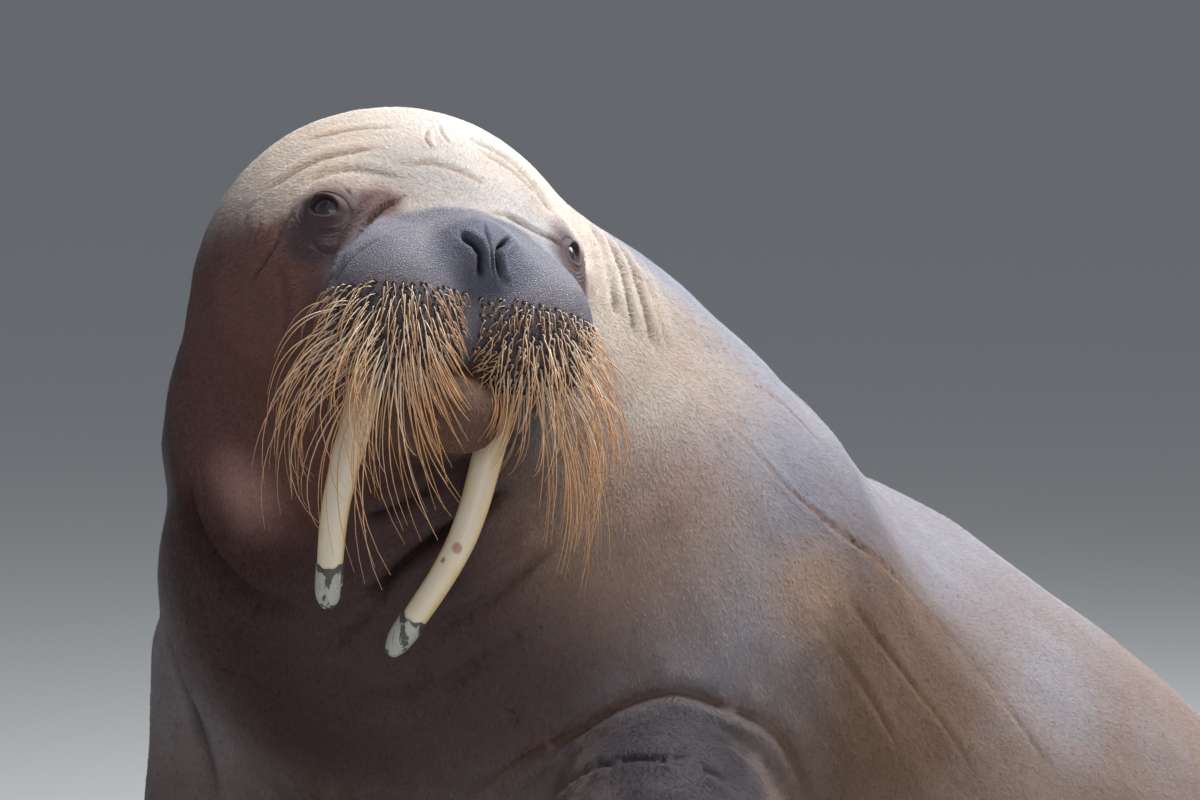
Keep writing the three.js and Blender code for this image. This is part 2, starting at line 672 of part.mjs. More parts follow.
// Muzzle: all that lies ahead of the cut, with the nostrils, and with the whiskers on its pads
let muzzle = cutHead(skull, MUZZLE_BACK, 1, GAP / 2).subtract(trunkGrown);
for (const side of Object.values(SIDES)) {
  const at = sided(NOSTRIL.at, side);
  const angle = side * radians(-NOSTRIL.flare);
  muzzle = muzzle.subtract(lump({ centre: at, half: NOSTRIL.half }, 0, AROUND.eye, FORWARDS, angle));
}
const bristles = joined(Object.keys(SIDES).flatMap(whiskers));
const behind = cutHead(skullGrown, MUZZLE_BACK, -1, -GAP / 2).add(trunkGrown);
const neckGrown = cutAt(bodyGrown, CUTS.neckToHead, -1, -GAP / 2);
muzzle = muzzle.add(bristles.subtract(behind)).subtract(neckGrown);
muzzle = muzzle.subtract(jawGrown).subtract(tusksGrown);
for (const { socket } of Object.values(eyes)) muzzle = muzzle.subtract(socket);
addNode("muzzle", muzzle, "muzzle");
addNode("lower_jaw", jaw.subtract(tusksGrown).subtract(neckGrown), "hide");

for (const name of Object.keys(SIDES)) {
  addNode(`eye_${name}`, eyes[name].globe, "eye");
  addNode(`tusk_${name}`, tusks[name].ivory, "ivory");
  addNode(`tusk_cap_${name}`, tusks[name].cap, "metal");
}

addNode("neck", cutAt(cutAt(body, CUTS.chestToNeck, 1), CUTS.neckToHead, -1), "hide");
addNode("chest", cutAt(cutAt(body, CUTS.torsoToChest, 1), CUTS.chestToNeck, -1), "hide");
addNode("torso", cutAt(cutAt(body, CUTS.rumpToTorso, 1), CUTS.torsoToChest, -1), "hide");
addNode("rump", cutAt(body, CUTS.rumpToTorso, -1), "hide");

const tail = new THREE.SphereGeometry(1, 12, 7).scale(...TAIL.half).translate(...TAIL.centre);
addNode("tail", solidOf(tail).subtract(bodyGrown), "hide");

for (const [name, side] of Object.entries(SIDES)) {
  for (const [kind, limb, hand] of [["fore", FORE_LIMB, FORE_HAND], ["hind", HIND_LIMB, HIND_HAND]]) {
    const arm = limbSolid(limb[name]);
    const armGrown = limbSolid(limb[name], GAP);
    const paddle = flipperSolid(hand, name, side);
    addNode(`${kind}_limb_${name}`, arm.subtract(bodyGrown), "hide");
    addNode(`${kind}_flipper_${name}`, paddle.subtract(armGrown).subtract(bodyGrown), "flipper");
  }
}

export default walrus;
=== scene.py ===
"""Dresses the solids of a life-size walrus: one hide over all of the flesh, a short lying coat,
whiskers with dark collars of painted pit shade, tusks with metal caps, eyes and nails, on a pale studio
floor.
Lengths are metres, +Z is up, the hind end points along +Y and the animal's left side is +X."""
import json
import math

import bpy
import numpy as np
from mathutils import Matrix, Vector
from mathutils.bvhtree import BVHTree

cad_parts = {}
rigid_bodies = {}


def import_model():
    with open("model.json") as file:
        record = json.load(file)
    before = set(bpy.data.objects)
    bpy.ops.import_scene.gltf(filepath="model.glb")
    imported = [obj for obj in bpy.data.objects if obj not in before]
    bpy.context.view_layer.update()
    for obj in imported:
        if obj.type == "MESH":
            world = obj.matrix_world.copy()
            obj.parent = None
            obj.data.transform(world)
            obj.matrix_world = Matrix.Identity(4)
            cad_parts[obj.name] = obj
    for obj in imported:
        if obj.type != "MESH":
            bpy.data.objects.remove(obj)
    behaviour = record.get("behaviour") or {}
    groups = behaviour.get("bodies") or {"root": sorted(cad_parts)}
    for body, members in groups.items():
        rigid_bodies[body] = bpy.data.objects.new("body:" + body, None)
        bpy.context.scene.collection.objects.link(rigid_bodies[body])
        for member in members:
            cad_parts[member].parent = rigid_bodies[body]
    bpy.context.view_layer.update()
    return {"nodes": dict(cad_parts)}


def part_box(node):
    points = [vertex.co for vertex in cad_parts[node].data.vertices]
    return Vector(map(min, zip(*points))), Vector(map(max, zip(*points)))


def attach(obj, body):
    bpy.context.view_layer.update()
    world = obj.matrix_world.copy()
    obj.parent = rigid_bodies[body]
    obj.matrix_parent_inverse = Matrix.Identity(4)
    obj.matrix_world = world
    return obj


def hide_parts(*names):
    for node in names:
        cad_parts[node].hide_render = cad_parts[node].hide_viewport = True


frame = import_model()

bl_info = {
    "name": "Walrus",
    "version": (1, 0, 0),
    "blender": (4, 5, 0),
    "location": "View3D > Sidebar > Walrus",
    "description": "Hide, coat, whiskers, tusks, eyes and nails for a life-size walrus",
    "category": "Add Mesh",
}

SIDES = {"left": 1, "right": -1}
FLESH = [
    "head", "lower_jaw", "ear_left", "ear_right", "neck", "chest", "torso", "rump", "tail",
    "fore_limb_left", "fore_limb_right", "hind_limb_left", "hind_limb_right",
    "fore_flipper_left", "fore_flipper_right", "hind_flipper_left", "hind_flipper_right",
]

# The head's own frame sits midway between the eyes; its axes are forward, left and up
HEAD_AT = np.array([0.024, -0.882, 1.040])
HEAD_TURN, HEAD_LIFT, HEAD_ROLL = math.radians(61.5), math.radians(14.5), math.radians(11.5)

# Rounded masses of the head in its frame: centre and half-sizes
FACE_MASSES = {
    "cranium": ((-0.159, 0.006, -0.051), (0.208, 0.206, 0.208)),
    "face": ((-0.050, 0, -0.066), (0.112, 0.146, 0.112)),
    "nose": ((0.060, 0, -0.040), (0.046, 0.046, 0.038)),
    "cheek_left": ((-0.080, 0.088, -0.112), (0.088, 0.074, 0.092)),
    "cheek_right": ((-0.080, -0.088, -0.112), (0.088, 0.074, 0.092)),
    "pad_left": ((0.046, 0.072, -0.104), (0.062, 0.070, 0.080)),
    "pad_right": ((0.046, -0.072, -0.104), (0.062, 0.070, 0.080)),
}
JAW_MASSES = {
    "chin": ((0.044, 0.008, -0.196), (0.044, 0.046, 0.040)),
    "jaw": ((-0.040, 0, -0.168), (0.084, 0.084, 0.062)),
}
# How softly the masses run into each other, and the jaw into the face
FACE_SOFTNESS, JAW_SOFTNESS, LIP_SOFTNESS = 0.013, 0.009, 0.003
# The middle of the head's inside, from which its surface is found
HEAD_CORE = np.array([-0.070, 0, -0.072])

# The spine from crown to tail, which the coat lies along
SPINE = np.array([
    [-0.100, -0.804, 0.922], [-0.098, -0.700, 0.740], [-0.094, -0.602, 0.612],
    [-0.066, -0.440, 0.482], [-0.028, -0.230, 0.382], [0, 0, 0.318],
    [0, 0.350, 0.236], [0, 0.690, 0.160], [0, 1.110, 0.088],
])

# Eyes in the head's frame: the middle of the left opening, where both face from, how deep each
# ball sits, and the opening's half-width and half-height. A box round a ball of radius 1 has a
# diagonal of root 12.
EYE_AT = np.array([-0.004, 0.130, -0.003])
EYE_FACES_FROM = np.array([-0.094, 0, -0.051])
EYE_SINK = {"left": 0.011, "right": 0.007}
EYE_OPEN = (0.0145, 0.0098)
EYE_BALL = (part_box("eye_left")[1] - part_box("eye_left")[0]).length / math.sqrt(12)

# The photograph's camera: the picture's pixels, its angle to the animal, its distance, its focal
# length in pixels, the pixel of the middle between the eyes, and the width of its sensor
PICTURE = (1200, 800)
VIEW_AZIMUTH, VIEW_ELEVATION = math.radians(36), math.radians(5)
VIEW_DISTANCE = 6.5
VIEW_PIXELS = 6500
EYES_PIXEL = (450, 230)
SENSOR = 0.036

# Creases of the hide, each drawn by pixels of the picture: how deep and how wide it is in
# millimetres, how far the skin bulges beside it, how stained it is, and its points
CREASES = {
    "nostril_right": (13, 8, 2.2, 0, [
        (460, 229), (466, 237), (473, 242), (479, 250), (481, 260), (481, 270), (483, 279), (488, 287)]),
    "nostril_left": (12, 7, 2.0, 0, [
        (517, 234), (509, 240), (501, 246), (498, 252), (498, 260), (500, 269), (504, 279), (513, 288)]),
    "nostril_right_mouth": (9, 10, 0, 0, [(461, 232), (468, 240), (475, 245), (479, 254)]),
    "nostril_left_mouth": (7, 8, 0, 0, [(512, 238), (504, 244), (499, 251), (499, 260)]),
    "septum": (3.0, 4.0, 0.8, 0, [
        (484, 219), (485, 229), (488, 241), (490, 253), (492, 266), (494, 280), (497, 296)]),
    "nose_fold_a": (1.2, 3.0, 0.3, 0, [(462, 229), (472, 223), (482, 221)]),
    "nose_fold_b": (1.2, 3.0, 0.3, 0, [(514, 234), (506, 226), (490, 221)]),
    "nose_fold_c": (1.0, 2.6, 0.3, 0, [(444, 226), (450, 236), (449, 247)]),
    "nose_top": (2.2, 8, 1.4, 0.15, [
        (424, 232), (440, 225), (458, 217), (480, 212), (500, 214), (520, 222), (538, 232)]),
    "under_eye": (11, 12, 5.0, 0, [
        (408, 192), (398, 198), (380, 209), (361, 229), (344, 253), (331, 275)]),
    "under_eye_low": (6, 14, 3.5, 0, [(333, 270), (323, 295), (317, 325), (316, 350)]),
    "muzzle_top": (3.2, 7, 2.0, 0.15, [
        (430, 224), (408, 226), (397, 228), (380, 238), (363, 248), (349, 261), (338, 277), (329, 295)]),
    "bag_a": (1.4, 4, 0.5, 0, [(309, 212), (316, 226), (330, 232), (344, 228), (354, 218)]),
    "bag_b": (1.6, 7, 0.8, 0, [(303, 215), (309, 236), (322, 250), (338, 250), (352, 238)]),
    "lid_fold": (2.0, 5, 0.9, 0, [
        (309, 206), (313, 193), (324, 184), (336, 182), (347, 190), (351, 203)]),
    "brow_low": (2.8, 11, 1.5, 0.45, [
        (260, 193), (280, 181), (300, 168), (322, 158), (347, 152), (388, 146)]),
    "brow_mid": (1.8, 9, 0.9, 0.4, [(303, 142), (330, 134), (362, 128), (402, 127)]),
    "brow_right": (2.0, 10, 1.2, 0.35, [(396, 166), (430, 163), (462, 172), (492, 188)]),
    "brow_edge": (2.2, 11, 1.0, 0.1, [(300, 196), (316, 178), (345, 170), (375, 172), (405, 180)]),
    "crown_nick_a": (4.5, 4.5, 1.4, 0.2, [(428, 127), (426, 137), (433, 149)]),
    "crown_nick_b": (3.2, 4.5, 1.2, 0.2, [(438, 121), (442, 133), (451, 144)]),
    "crown_side_a": (4.5, 10, 2.4, 0, [(464, 136), (503, 156), (530, 181), (548, 207), (556, 218)]),
    "crown_side_b": (2.2, 8, 1.2, 0, [(478, 150), (511, 170), (534, 192), (546, 208)]),
    "cheek_right_edge": (3.0, 8, 1.6, 0.1, [
        (497, 208), (520, 222), (538, 232), (553, 240), (566, 250)]),
    "ear_line": (6, 8, 2.4, 0, [
        (295, 202), (288, 217), (280, 230), (275, 243), (263, 263), (247, 285)]),
    "ear_fold": (3.0, 7, 1.6, 0, [(259, 219), (257, 229), (251, 238)]),
    "ear_ridge": (0.8, 8, 1.0, 0, [(262, 198), (248, 210), (244, 226)]),
    "cheek_a": (3, 14, 1.8, 0, [(276, 262), (283, 300), (281, 335), (288, 362), (300, 385)]),
    "cheek_b": (1.8, 14, 1.4, 0, [(205, 330), (212, 370), (226, 405), (244, 440)]),
    "neck_fold_a": (10, 7, 4.0, 0, [(577, 222), (584, 240), (588, 262), (590, 286)]),
    "neck_fold_b": (12, 7, 4.6, 0, [(583, 220), (594, 245), (599, 272), (602, 298)]),
    "neck_fold_c": (12, 8, 5.0, 0, [(590, 220), (606, 256), (613, 288), (617, 318)]),
    "neck_fold_d": (12, 8, 5.0, 0.1, [(599, 224), (619, 266), (629, 304), (635, 340)]),
    "neck_fold_e": (9, 9, 4.2, 0.15, [(609, 229), (631, 268), (645, 308), (655, 352)]),
    "neck_fold_f": (3.5, 10, 1.6, 0.1, [(622, 238), (645, 276), (660, 318), (670, 352)]),
    "pouch": (9, 20, 4.5, 0, [
        (310, 607), (262, 602), (229, 578), (206, 549), (192, 515), (186, 465)]),
    "throat_a": (12, 17, 6.0, 0, [(350, 523), (388, 514), (424, 496), (452, 468)]),
    "throat_b": (17, 17, 9.0, 0, [
        (340, 602), (378, 588), (402, 565), (443, 534), (485, 507), (520, 480)]),
    "throat_branch": (9, 15, 4.0, 0, [(322, 658), (346, 636), (368, 614), (390, 584)]),
    "throat_c": (8, 18, 4.0, 0, [(418, 642), (450, 622), (495, 596), (530, 568), (560, 540)]),
    "chest_a": (9, 20, 4.0, 0, [
        (330, 703), (400, 697), (450, 683), (496, 651), (535, 626), (570, 600)]),
    "chest_edge": (11, 18, 5.0, 0, [(160, 618), (174, 662), (190, 708), (205, 758), (218, 812)]),
    "shoulder_out": (10, 15, 6.0, 0.3, [
        (808, 815), (803, 782), (790, 750), (768, 724), (730, 708), (678, 691), (625, 703),
        (575, 732), (530, 758), (490, 786), (462, 808)]),
    "shoulder_in": (8, 13, 5.0, 0, [
        (748, 806), (731, 783), (700, 765), (642, 757), (600, 765), (570, 780), (545, 800)]),
    "shoulder_mid": (3.0, 12, 2.0, 0, [(774, 790), (752, 758), (728, 742), (694, 730)]),
    "back_long": (3.6, 7, 1.4, 0.4, [
        (716, 412), (740, 434), (762, 456), (790, 488), (838, 530), (888, 569), (928, 609), (962, 643)]),
    "back_high": (1.8, 9, 0.7, 0.25, [(699, 358), (739, 373), (788, 408), (832, 456)]),
    "flank_a": (2.0, 10, 0.9, 0.1, [(838, 583), (881, 643), (921, 694), (954, 737), (983, 790)]),
    "flank_b": (1.8, 10, 0.9, 0.1, [(800, 600), (835, 645), (872, 700), (900, 752)]),
    "flank_c": (1.6, 10, 0.7, 0.1, [(930, 610), (975, 665), (1020, 724), (1062, 786)]),
}

# Colour markings, some of them partly painted light as noted beside them: the pixel that each is
# centred on, its radius in metres, how softly it ends (share of the radius), its colour, how
# strongly it covers, and whether the head's other side has it too
MARKINGS = [
    # Neck on the shaded side: partly its own mauve-brown, partly painted shade
    ((190, 450), 0.42, 0.9, (0.110, 0.072, 0.064), 0.80, False),
    # Throat and chest: partly their own dark brown, partly painted shade
    ((320, 570), 0.36, 0.5, (0.050, 0.0190, 0.0155), 0.95, False),
    ((470, 640), 0.26, 0.6, (0.094, 0.060, 0.060), 0.85, False),
    ((640, 520), 0.20, 0.8, (0.320, 0.225, 0.170), 0.75, False),
    ((640, 330), 0.15, 0.7, (0.520, 0.450, 0.380), 0.85, False),
    ((700, 370), 0.13, 0.8, (0.330, 0.270, 0.230), 0.60, False),
    # Crown: partly its own pale hair, partly painted light from above
    ((390, 120), 0.26, 0.6, (0.600, 0.560, 0.520), 0.95, False),
    ((300, 160), 0.15, 0.8, (0.640, 0.550, 0.480), 0.85, True),
    ((430, 190), 0.11, 0.7, (0.420, 0.385, 0.365), 0.90, False),
    # Cheek and temple on the shaded side, this line and the next: partly their own mauve-brown, partly
    # painted shade
    ((240, 385), 0.21, 0.4, (0.140, 0.066, 0.056), 0.95, False),
    ((262, 290), 0.088, 0.35, (0.180, 0.092, 0.080), 0.95, False),
    ((378, 208), 0.034, 0.5, (0.150, 0.082, 0.074), 0.90, False),
    ((350, 243), 0.034, 0.5, (0.110, 0.062, 0.058), 0.90, False),
    # Darker patch on the back: its bluish tint partly painted sky reflection
    ((850, 520), 0.16, 0.8, (0.125, 0.125, 0.160), 0.75, False),
    ((245, 490), 0.070, 1.0, (0.500, 0.290, 0.260), 0.70, False),
    ((900, 690), 0.23, 0.7, (0.135, 0.080, 0.048), 0.90, False),
    # Bluish pale patch on the flank: painted sky reflection
    ((1060, 690), 0.12, 0.9, (0.300, 0.310, 0.360), 0.55, False),
    ((810, 590), 0.08, 0.9, (0.330, 0.225, 0.150), 0.60, False),
    ((690, 770), 0.14, 0.5, (0.031, 0.029, 0.040), 0.95, False),
]
# Patches of bare skin in the head's frame, as a centre and half-sizes, and the radius of the
# dark skin round each eye
MUZZLE_PATCH = (np.array([0.085, 0, -0.075]), np.array([0.105, 0.150, 0.090]))
NOSE_PATCH = (np.array([0.106, 0, -0.046]), np.array([0.060, 0.056, 0.046]))
CHIN_PATCH = (np.array([0.03, 0.004, -0.200]), np.array([0.075, 0.070, 0.052]))
EYE_PATCH = 0.052

# Tones that the finishes mix towards, beside the settings' main colours
TONES = {
    "muzzle_worn": (0.40, 0.37, 0.40), "nose": (0.155, 0.165, 0.240),
    "chin": (0.150, 0.085, 0.060), "limb": (0.045, 0.030, 0.033),
    "mottle_pale": (0.78, 0.70, 0.60), "mottle_dark": (0.12, 0.10, 0.09),
    # Painted shade in the hide's creases and in the coat over them; on the next line, painted shade in
    # the muzzle's fine cracks and along the body's fine creases
    "crease_shade": (0.022, 0.011, 0.010), "coat_crease_shade": (0.026, 0.014, 0.012),
    "crack_shade": (0.035, 0.032, 0.045), "fine_crease_shade": (0.04, 0.028, 0.026),
    "tuft_pale": (0.92, 0.84, 0.72), "tuft_dark": (0.10, 0.07, 0.05),
    "whisker_dark": (0.36, 0.180, 0.085), "whisker_pale": (0.86, 0.74, 0.55),
    # Painted shade of the pits round the whisker roots
    "pit_shade_dark": (0.022, 0.017, 0.020), "pit_shade_pale": (0.060, 0.046, 0.050),
    "ivory_blotch": (0.820, 0.660, 0.420), "ivory_front": (0.800, 0.760, 0.660),
    "ivory_grain": (0.560, 0.380, 0.190), "ivory_root": (0.62, 0.43, 0.22),
    "cap_scratch": (0.52, 0.53, 0.45),
    "metal_dark": (0.045, 0.047, 0.056), "metal_pale": (0.200, 0.175, 0.140),
    "pupil": (0.003, 0.002, 0.002), "eye_rim": (0.055, 0.042, 0.060),
    "eye_corner": (0.300, 0.110, 0.085),
    "nail_dark": (0.060, 0.045, 0.036), "nail_pale": (0.190, 0.150, 0.110),
    "floor": (0.46, 0.46, 0.455), "daylight": (0.80, 0.86, 0.95),
}
# Two stains on the front of a tusk: the pixel, radius and tone of each
TUSK_MARKS = [
    ((457, 548), 0.0075, (0.40, 0.160, 0.080)),
    ((443, 560), 0.0042, (0.16, 0.09, 0.06)),
]

# Tusks in the head's frame: four points of each curve, half-sizes at the root from front to
# back and across, how much of them is left at the tip, and how many points go round a ring.
# Metal caps: their length, how far they stand proud, how far their edge wanders, and how far
# below the ivory it ends.
TUSK_CURVES = {
    "left": ((0.020, 0.066, -0.150), (0.016, 0.060, -0.190), (-0.008, 0.042, -0.312),
             (-0.065, -0.001, -0.425)),
    "right": ((0.017, -0.080, -0.150), (0.014, -0.085, -0.200), (-0.004, -0.095, -0.292),
              (-0.038, -0.082, -0.394)),
}
TUSK_HALF = (0.0185, 0.0165)
TUSK_TAPER = 0.72
TUSK_AROUND = 36
CAP_LENGTH, CAP_PROUD, CAP_WAVE, CAP_TUCK = 0.046, 0.0012, 0.0028, 0.0010

# Whiskers: how far below the middle between the eyes, as the camera sees it, they begin, the
# turn of the innermost and the sweep to the outermost in degrees, points along each and round
# it, the share that is short, how far a lone root may lie from its fourth neighbour, how far they
# stay inside the solid ones' box, and the points round a follicle
WHISKERS_BELOW = 0.053
WHISKER_TURN, WHISKER_SWEEP = -76, 168
WHISKER_STEPS, WHISKER_SIDES = 11, 4
WHISKERS_SHORT = 0.30
WHISKER_LONE = 0.0135
WHISKER_MARGIN = 0.002
FOLLICLE_SIDES = 7

# Digits of the flippers: wrist, heading from the side in degrees, length, half-width at the
# tips, and each digit's share of the length
FORE_DIGITS, HIND_DIGITS = (1.0, 0.95, 0.86, 0.76, 0.66), (1.0, 0.9, 0.86, 0.9, 1.0)
HANDS = {
    "fore_left": ((0.252, -0.785), 24, 0.330, 0.128, FORE_DIGITS),
    "fore_right": ((-0.370, -0.735), 24, 0.330, 0.128, FORE_DIGITS),
    "hind_left": ((0.238, 0.990), -42, 0.345, 0.165, HIND_DIGITS),
    "hind_right": ((-0.238, 0.990), -42, 0.345, 0.165, HIND_DIGITS),
}
NAIL_HALF = (0.011, 0.0052, 0.0030)
NAIL_BACK = 0.040

# Soft lights: how far each hangs to the right of the chest as the camera sees it, towards the
# camera and up, its size, power and colour; the point that all face, from the head; the floor's
# size and the strength of the daylight all round
LIGHTS = {
    "key": (1.4, -0.1, 3.3, 1.7, 225, (1, 0.985, 0.96)),
    "sky": (2.0, -2.0, 2.6, 2.6, 120, (0.88, 0.94, 1)),
    "fill": (0.5, 4.5, 0.9, 3.0, 40, (1, 0.97, 0.94)),
}
LIGHTS_AIM = np.array([0.1, 0.3, -0.25])
FLOOR_SIZE = 240
DAYLIGHT = 0.32


# ---- Settings ----

def length_setting(name, description, default, **limits):
    return bpy.props.FloatProperty(
        name=name, description=description, default=default, unit="LENGTH", **limits)


def count_setting(name, description, default, least):
    return bpy.props.IntProperty(name=name, description=description, default=default, min=least)


def colour_setting(name, description, default):
    return bpy.props.FloatVectorProperty(
        name=name, description=description, default=default, subtype="COLOR", min=0, max=1)


class HideSettings(bpy.types.PropertyGroup):
    grain: length_setting(
        "Grain", "Size of the skin's grid before it is refined", 0.0065, min=0.004)
    depth: length_setting(
        "Depth", "How far the skin lies inside the solids, for the coat", 0.0022, min=0)
    faces: count_setting("Faces", "Triangles of the finished skin", 192000, 20000)
    kept: bpy.props.FloatProperty(
        name="Kept", description="Share of the faces that stay before the face is refined",
        default=0.44, min=0.1, max=1, subtype="FACTOR")
    relief: bpy.props.FloatProperty(
        name="Relief", description="How strong the drawn creases are", default=1.0, min=0)


class CoatSettings(bpy.types.PropertyGroup):
    tufts: count_setting("Tufts", "Number of tufts over the whole body", 400000, 1000)
    length: length_setting("Length", "Length of a tuft on the back", 0.0052)
    width: length_setting("Width", "Width of a tuft on the back", 0.00078)
    rise: length_setting("Rise", "How far a tip stands off the skin", 0.0011)


class WhiskerSettings(bpy.types.PropertyGroup):
    rows: count_setting("Rows", "Rows down each pad", 16, 2)
    in_row: count_setting("In a row", "Whiskers in a row of one pad", 22, 2)
    shortest: length_setting("Shortest", "Length in the top row", 0.016)
    inner: length_setting("Inner", "Longest beside the lip's middle", 0.085)
    left: length_setting("Left", "Longest outside on the left", 0.200)
    right: length_setting("Right", "Longest outside on the right", 0.250)
    radius: length_setting("Radius", "Radius at the root", 0.00086)


class ColourSettings(bpy.types.PropertyGroup):
    hide: colour_setting("Hide", "Brown of the flanks", (0.240, 0.165, 0.122))
    # Paler, bluer grey higher up: partly the back's own grey, partly painted sky sheen
    pale_back_and_sheen: colour_setting("Bloom", "Pale grey of the back", (0.258, 0.265, 0.315))
    # Darker towards the bottom: partly the underside's own dark brown, partly painted shade
    underside_and_shade: colour_setting("Belly", "Dark brown of the underside", (0.050, 0.030, 0.026))
    muzzle: colour_setting("Muzzle", "Slate of the bare muzzle", (0.250, 0.255, 0.320))
    pad: colour_setting("Pad", "Skin between the whiskers", (0.120, 0.078, 0.082))
    lid: colour_setting("Lid", "Skin round the eyes", (0.100, 0.066, 0.072))
    flipper: colour_setting("Flipper", "Bare skin of the flippers", (0.050, 0.040, 0.044))
    stain: colour_setting("Stain", "Rusty stain in the creases", (0.430, 0.200, 0.085))
    ivory: colour_setting("Ivory", "Cream of the tusks", (0.800, 0.580, 0.285))
    cap: colour_setting("Cap", "Pale face of the tusk caps", (0.400, 0.410, 0.350))
    whisker_root: colour_setting(
        "Whisker root", "Whiskers where they start", (0.800, 0.680, 0.540))
    whisker_tip: colour_setting("Whisker tip", "Whiskers towards the tips", (0.620, 0.340, 0.165))
    iris: colour_setting("Iris", "Brown of the eyes", (0.030, 0.020, 0.026))


SETTINGS = {
    "walrus_hide": HideSettings,
    "walrus_coat": CoatSettings,
    "walrus_whiskers": WhiskerSettings,
    "walrus_colours": ColourSettings,
}


# ---- The head's frame, the masses and the camera ----

def head_axes():
    ahead = np.array([
        math.sin(HEAD_TURN) * math.cos(HEAD_LIFT),
        -math.cos(HEAD_TURN) * math.cos(HEAD_LIFT),
        math.sin(HEAD_LIFT),
    ])
    level = np.array([math.cos(HEAD_TURN), math.sin(HEAD_TURN), 0])
    upright = np.cross(ahead, level)
    left = level * math.cos(HEAD_ROLL) - upright * math.sin(HEAD_ROLL)
    up = upright * math.cos(HEAD_ROLL) + level * math.sin(HEAD_ROLL)
    return np.array([ahead, left, up])


HEAD_AXES = head_axes()


def to_head(points):
    return (points - HEAD_AT) @ HEAD_AXES.T


def to_world(points):
    return np.asarray(points) @ HEAD_AXES + HEAD_AT


def unit(vectors):
    return vectors / np.maximum(np.linalg.norm(vectors, axis=-1, keepdims=True), 1e-12)


def ease(values, low, high):
    """0 at low, 1 at high, smooth between."""
    share = np.clip((values - low) / (high - low), 0, 1)
    return share * share * (3 - 2 * share)


def blended(points, masses, softness):
    """Roughly how far points in the head's frame lie outside masses that run into each other."""
    pulls = 0
    for centre, half in masses.values():
        local = points - np.array(centre)
        size = np.linalg.norm(local / half, axis=1)
        steep = np.linalg.norm(local / np.square(half), axis=1)
        pulls = pulls + np.exp(-size * (size - 1) / np.maximum(steep, 1e-9) / softness)
    return -softness * np.log(np.maximum(pulls, 1e-300))


def outside_face(points):
    face = blended(points, FACE_MASSES, FACE_SOFTNESS)
    jaw = blended(points, JAW_MASSES, JAW_SOFTNESS)
    nearer = np.minimum(face, jaw)
    return nearer - LIP_SOFTNESS * np.log1p(np.exp(-np.abs(face - jaw) / LIP_SOFTNESS))


def drawn_to_face(points, target):
    """Points in the head's frame moved along rays from the head's core to a height over it."""
    points = points.copy()
    for _ in range(10):
        rays = points - HEAD_CORE
        reach = np.linalg.norm(rays, axis=1, keepdims=True)
        gap = (outside_face(points) - target)[:, None]
        points -= rays / reach * np.clip(gap, -0.02, 0.2)
    return points


def camera_axes():
    a, e = VIEW_AZIMUTH, VIEW_ELEVATION
    right = np.array([math.cos(a), math.sin(a), 0])
    back = np.array([math.sin(a) * math.cos(e), -math.cos(a) * math.cos(e), math.sin(e)])
    return right, np.cross(back, right), back


def camera_place():
    right, up, back = camera_axes()
    across = (EYES_PIXEL[0] - PICTURE[0] / 2) * VIEW_DISTANCE / VIEW_PIXELS
    above = (PICTURE[1] / 2 - EYES_PIXEL[1]) * VIEW_DISTANCE / VIEW_PIXELS
    return HEAD_AT + back * VIEW_DISTANCE - right * across - up * above


def seen_at(tree, pixel):
    """The point and the normal of the skin that a pixel of the picture shows, or None."""
    right, up, back = camera_axes()
    ray = (pixel[0] - PICTURE[0] / 2) * right + (PICTURE[1] / 2 - pixel[1]) * up
    ray = Vector(ray - VIEW_PIXELS * back).normalized()
    place, normal, _, _ = tree.ray_cast(Vector(camera_place()), ray)
    return (np.array(place), np.array(normal)) if place else None


def smooth_line(points, spacing):
    """Points at about a spacing along a smooth curve through the given ones."""
    points = np.array(points, float)
    ends = np.vstack([2 * points[0] - points[1], points, 2 * points[-1] - points[-2]])
    line = []
    for a, b, c, d in zip(ends, ends[1:], ends[2:], ends[3:]):
        ab, bc, cd = (np.linalg.norm(q - p) ** 0.5 for p, q in ((a, b), (b, c), (c, d)))
        leaves = ((b - a) / ab - (c - a) / (ab + bc) + (c - b) / bc) * bc
        arrives = ((c - b) / bc - (d - b) / (bc + cd) + (d - c) / cd) * bc
        steps = max(2, int(np.linalg.norm(c - b) / spacing))
        t = (np.arange(steps) / steps)[:, None]
        line.append(b + leaves * t + (3 * (c - b) - 2 * leaves - arrives) * t ** 2
                    + (2 * (b - c) + leaves + arrives) * t ** 3)
    return np.vstack([*line, points[-1:]])


def evenly(line, shares):
    """Points at shares of a line's length."""
    reach = np.concatenate([[0], np.cumsum(np.linalg.norm(np.diff(line, axis=0), axis=1))])
    return np.stack([np.interp(shares * reach[-1], reach, line[:, k]) for k in range(3)], 1)


# ---- Meshes ----

def deselect():
    bpy.ops.object.select_all(action="DESELECT")


def make_active(piece):
    deselect()
    piece.select_set(True)
    bpy.context.view_layer.objects.active = piece


def node_copy(name):
    """A CAD node's mesh as a new object, with its loose triangles merged."""
    copy = frame["nodes"][name].copy()
    copy.data = copy.data.copy()
    copy.parent = None
    copy.matrix_world = Matrix.Identity(4)
    copy.hide_render = False
    copy.hide_viewport = False
    bpy.context.scene.collection.objects.link(copy)
    make_active(copy)
    in_edit(bpy.ops.mesh.remove_doubles, threshold=1e-5)
    return copy


def in_edit(operator, chosen=False, **options):
    """Runs one edit-mode operator on the active object, on all of it or on what is chosen."""
    bpy.ops.object.mode_set(mode="EDIT")
    if not chosen:
        bpy.ops.mesh.select_all(action="SELECT")
    operator(**options)
    bpy.ops.object.mode_set(mode="OBJECT")


def join(pieces, name):
    deselect()
    for piece in pieces:
        piece.select_set(True)
    bpy.context.view_layer.objects.active = pieces[0]
    bpy.ops.object.join()
    whole = bpy.context.object
    whole.name = name
    return whole


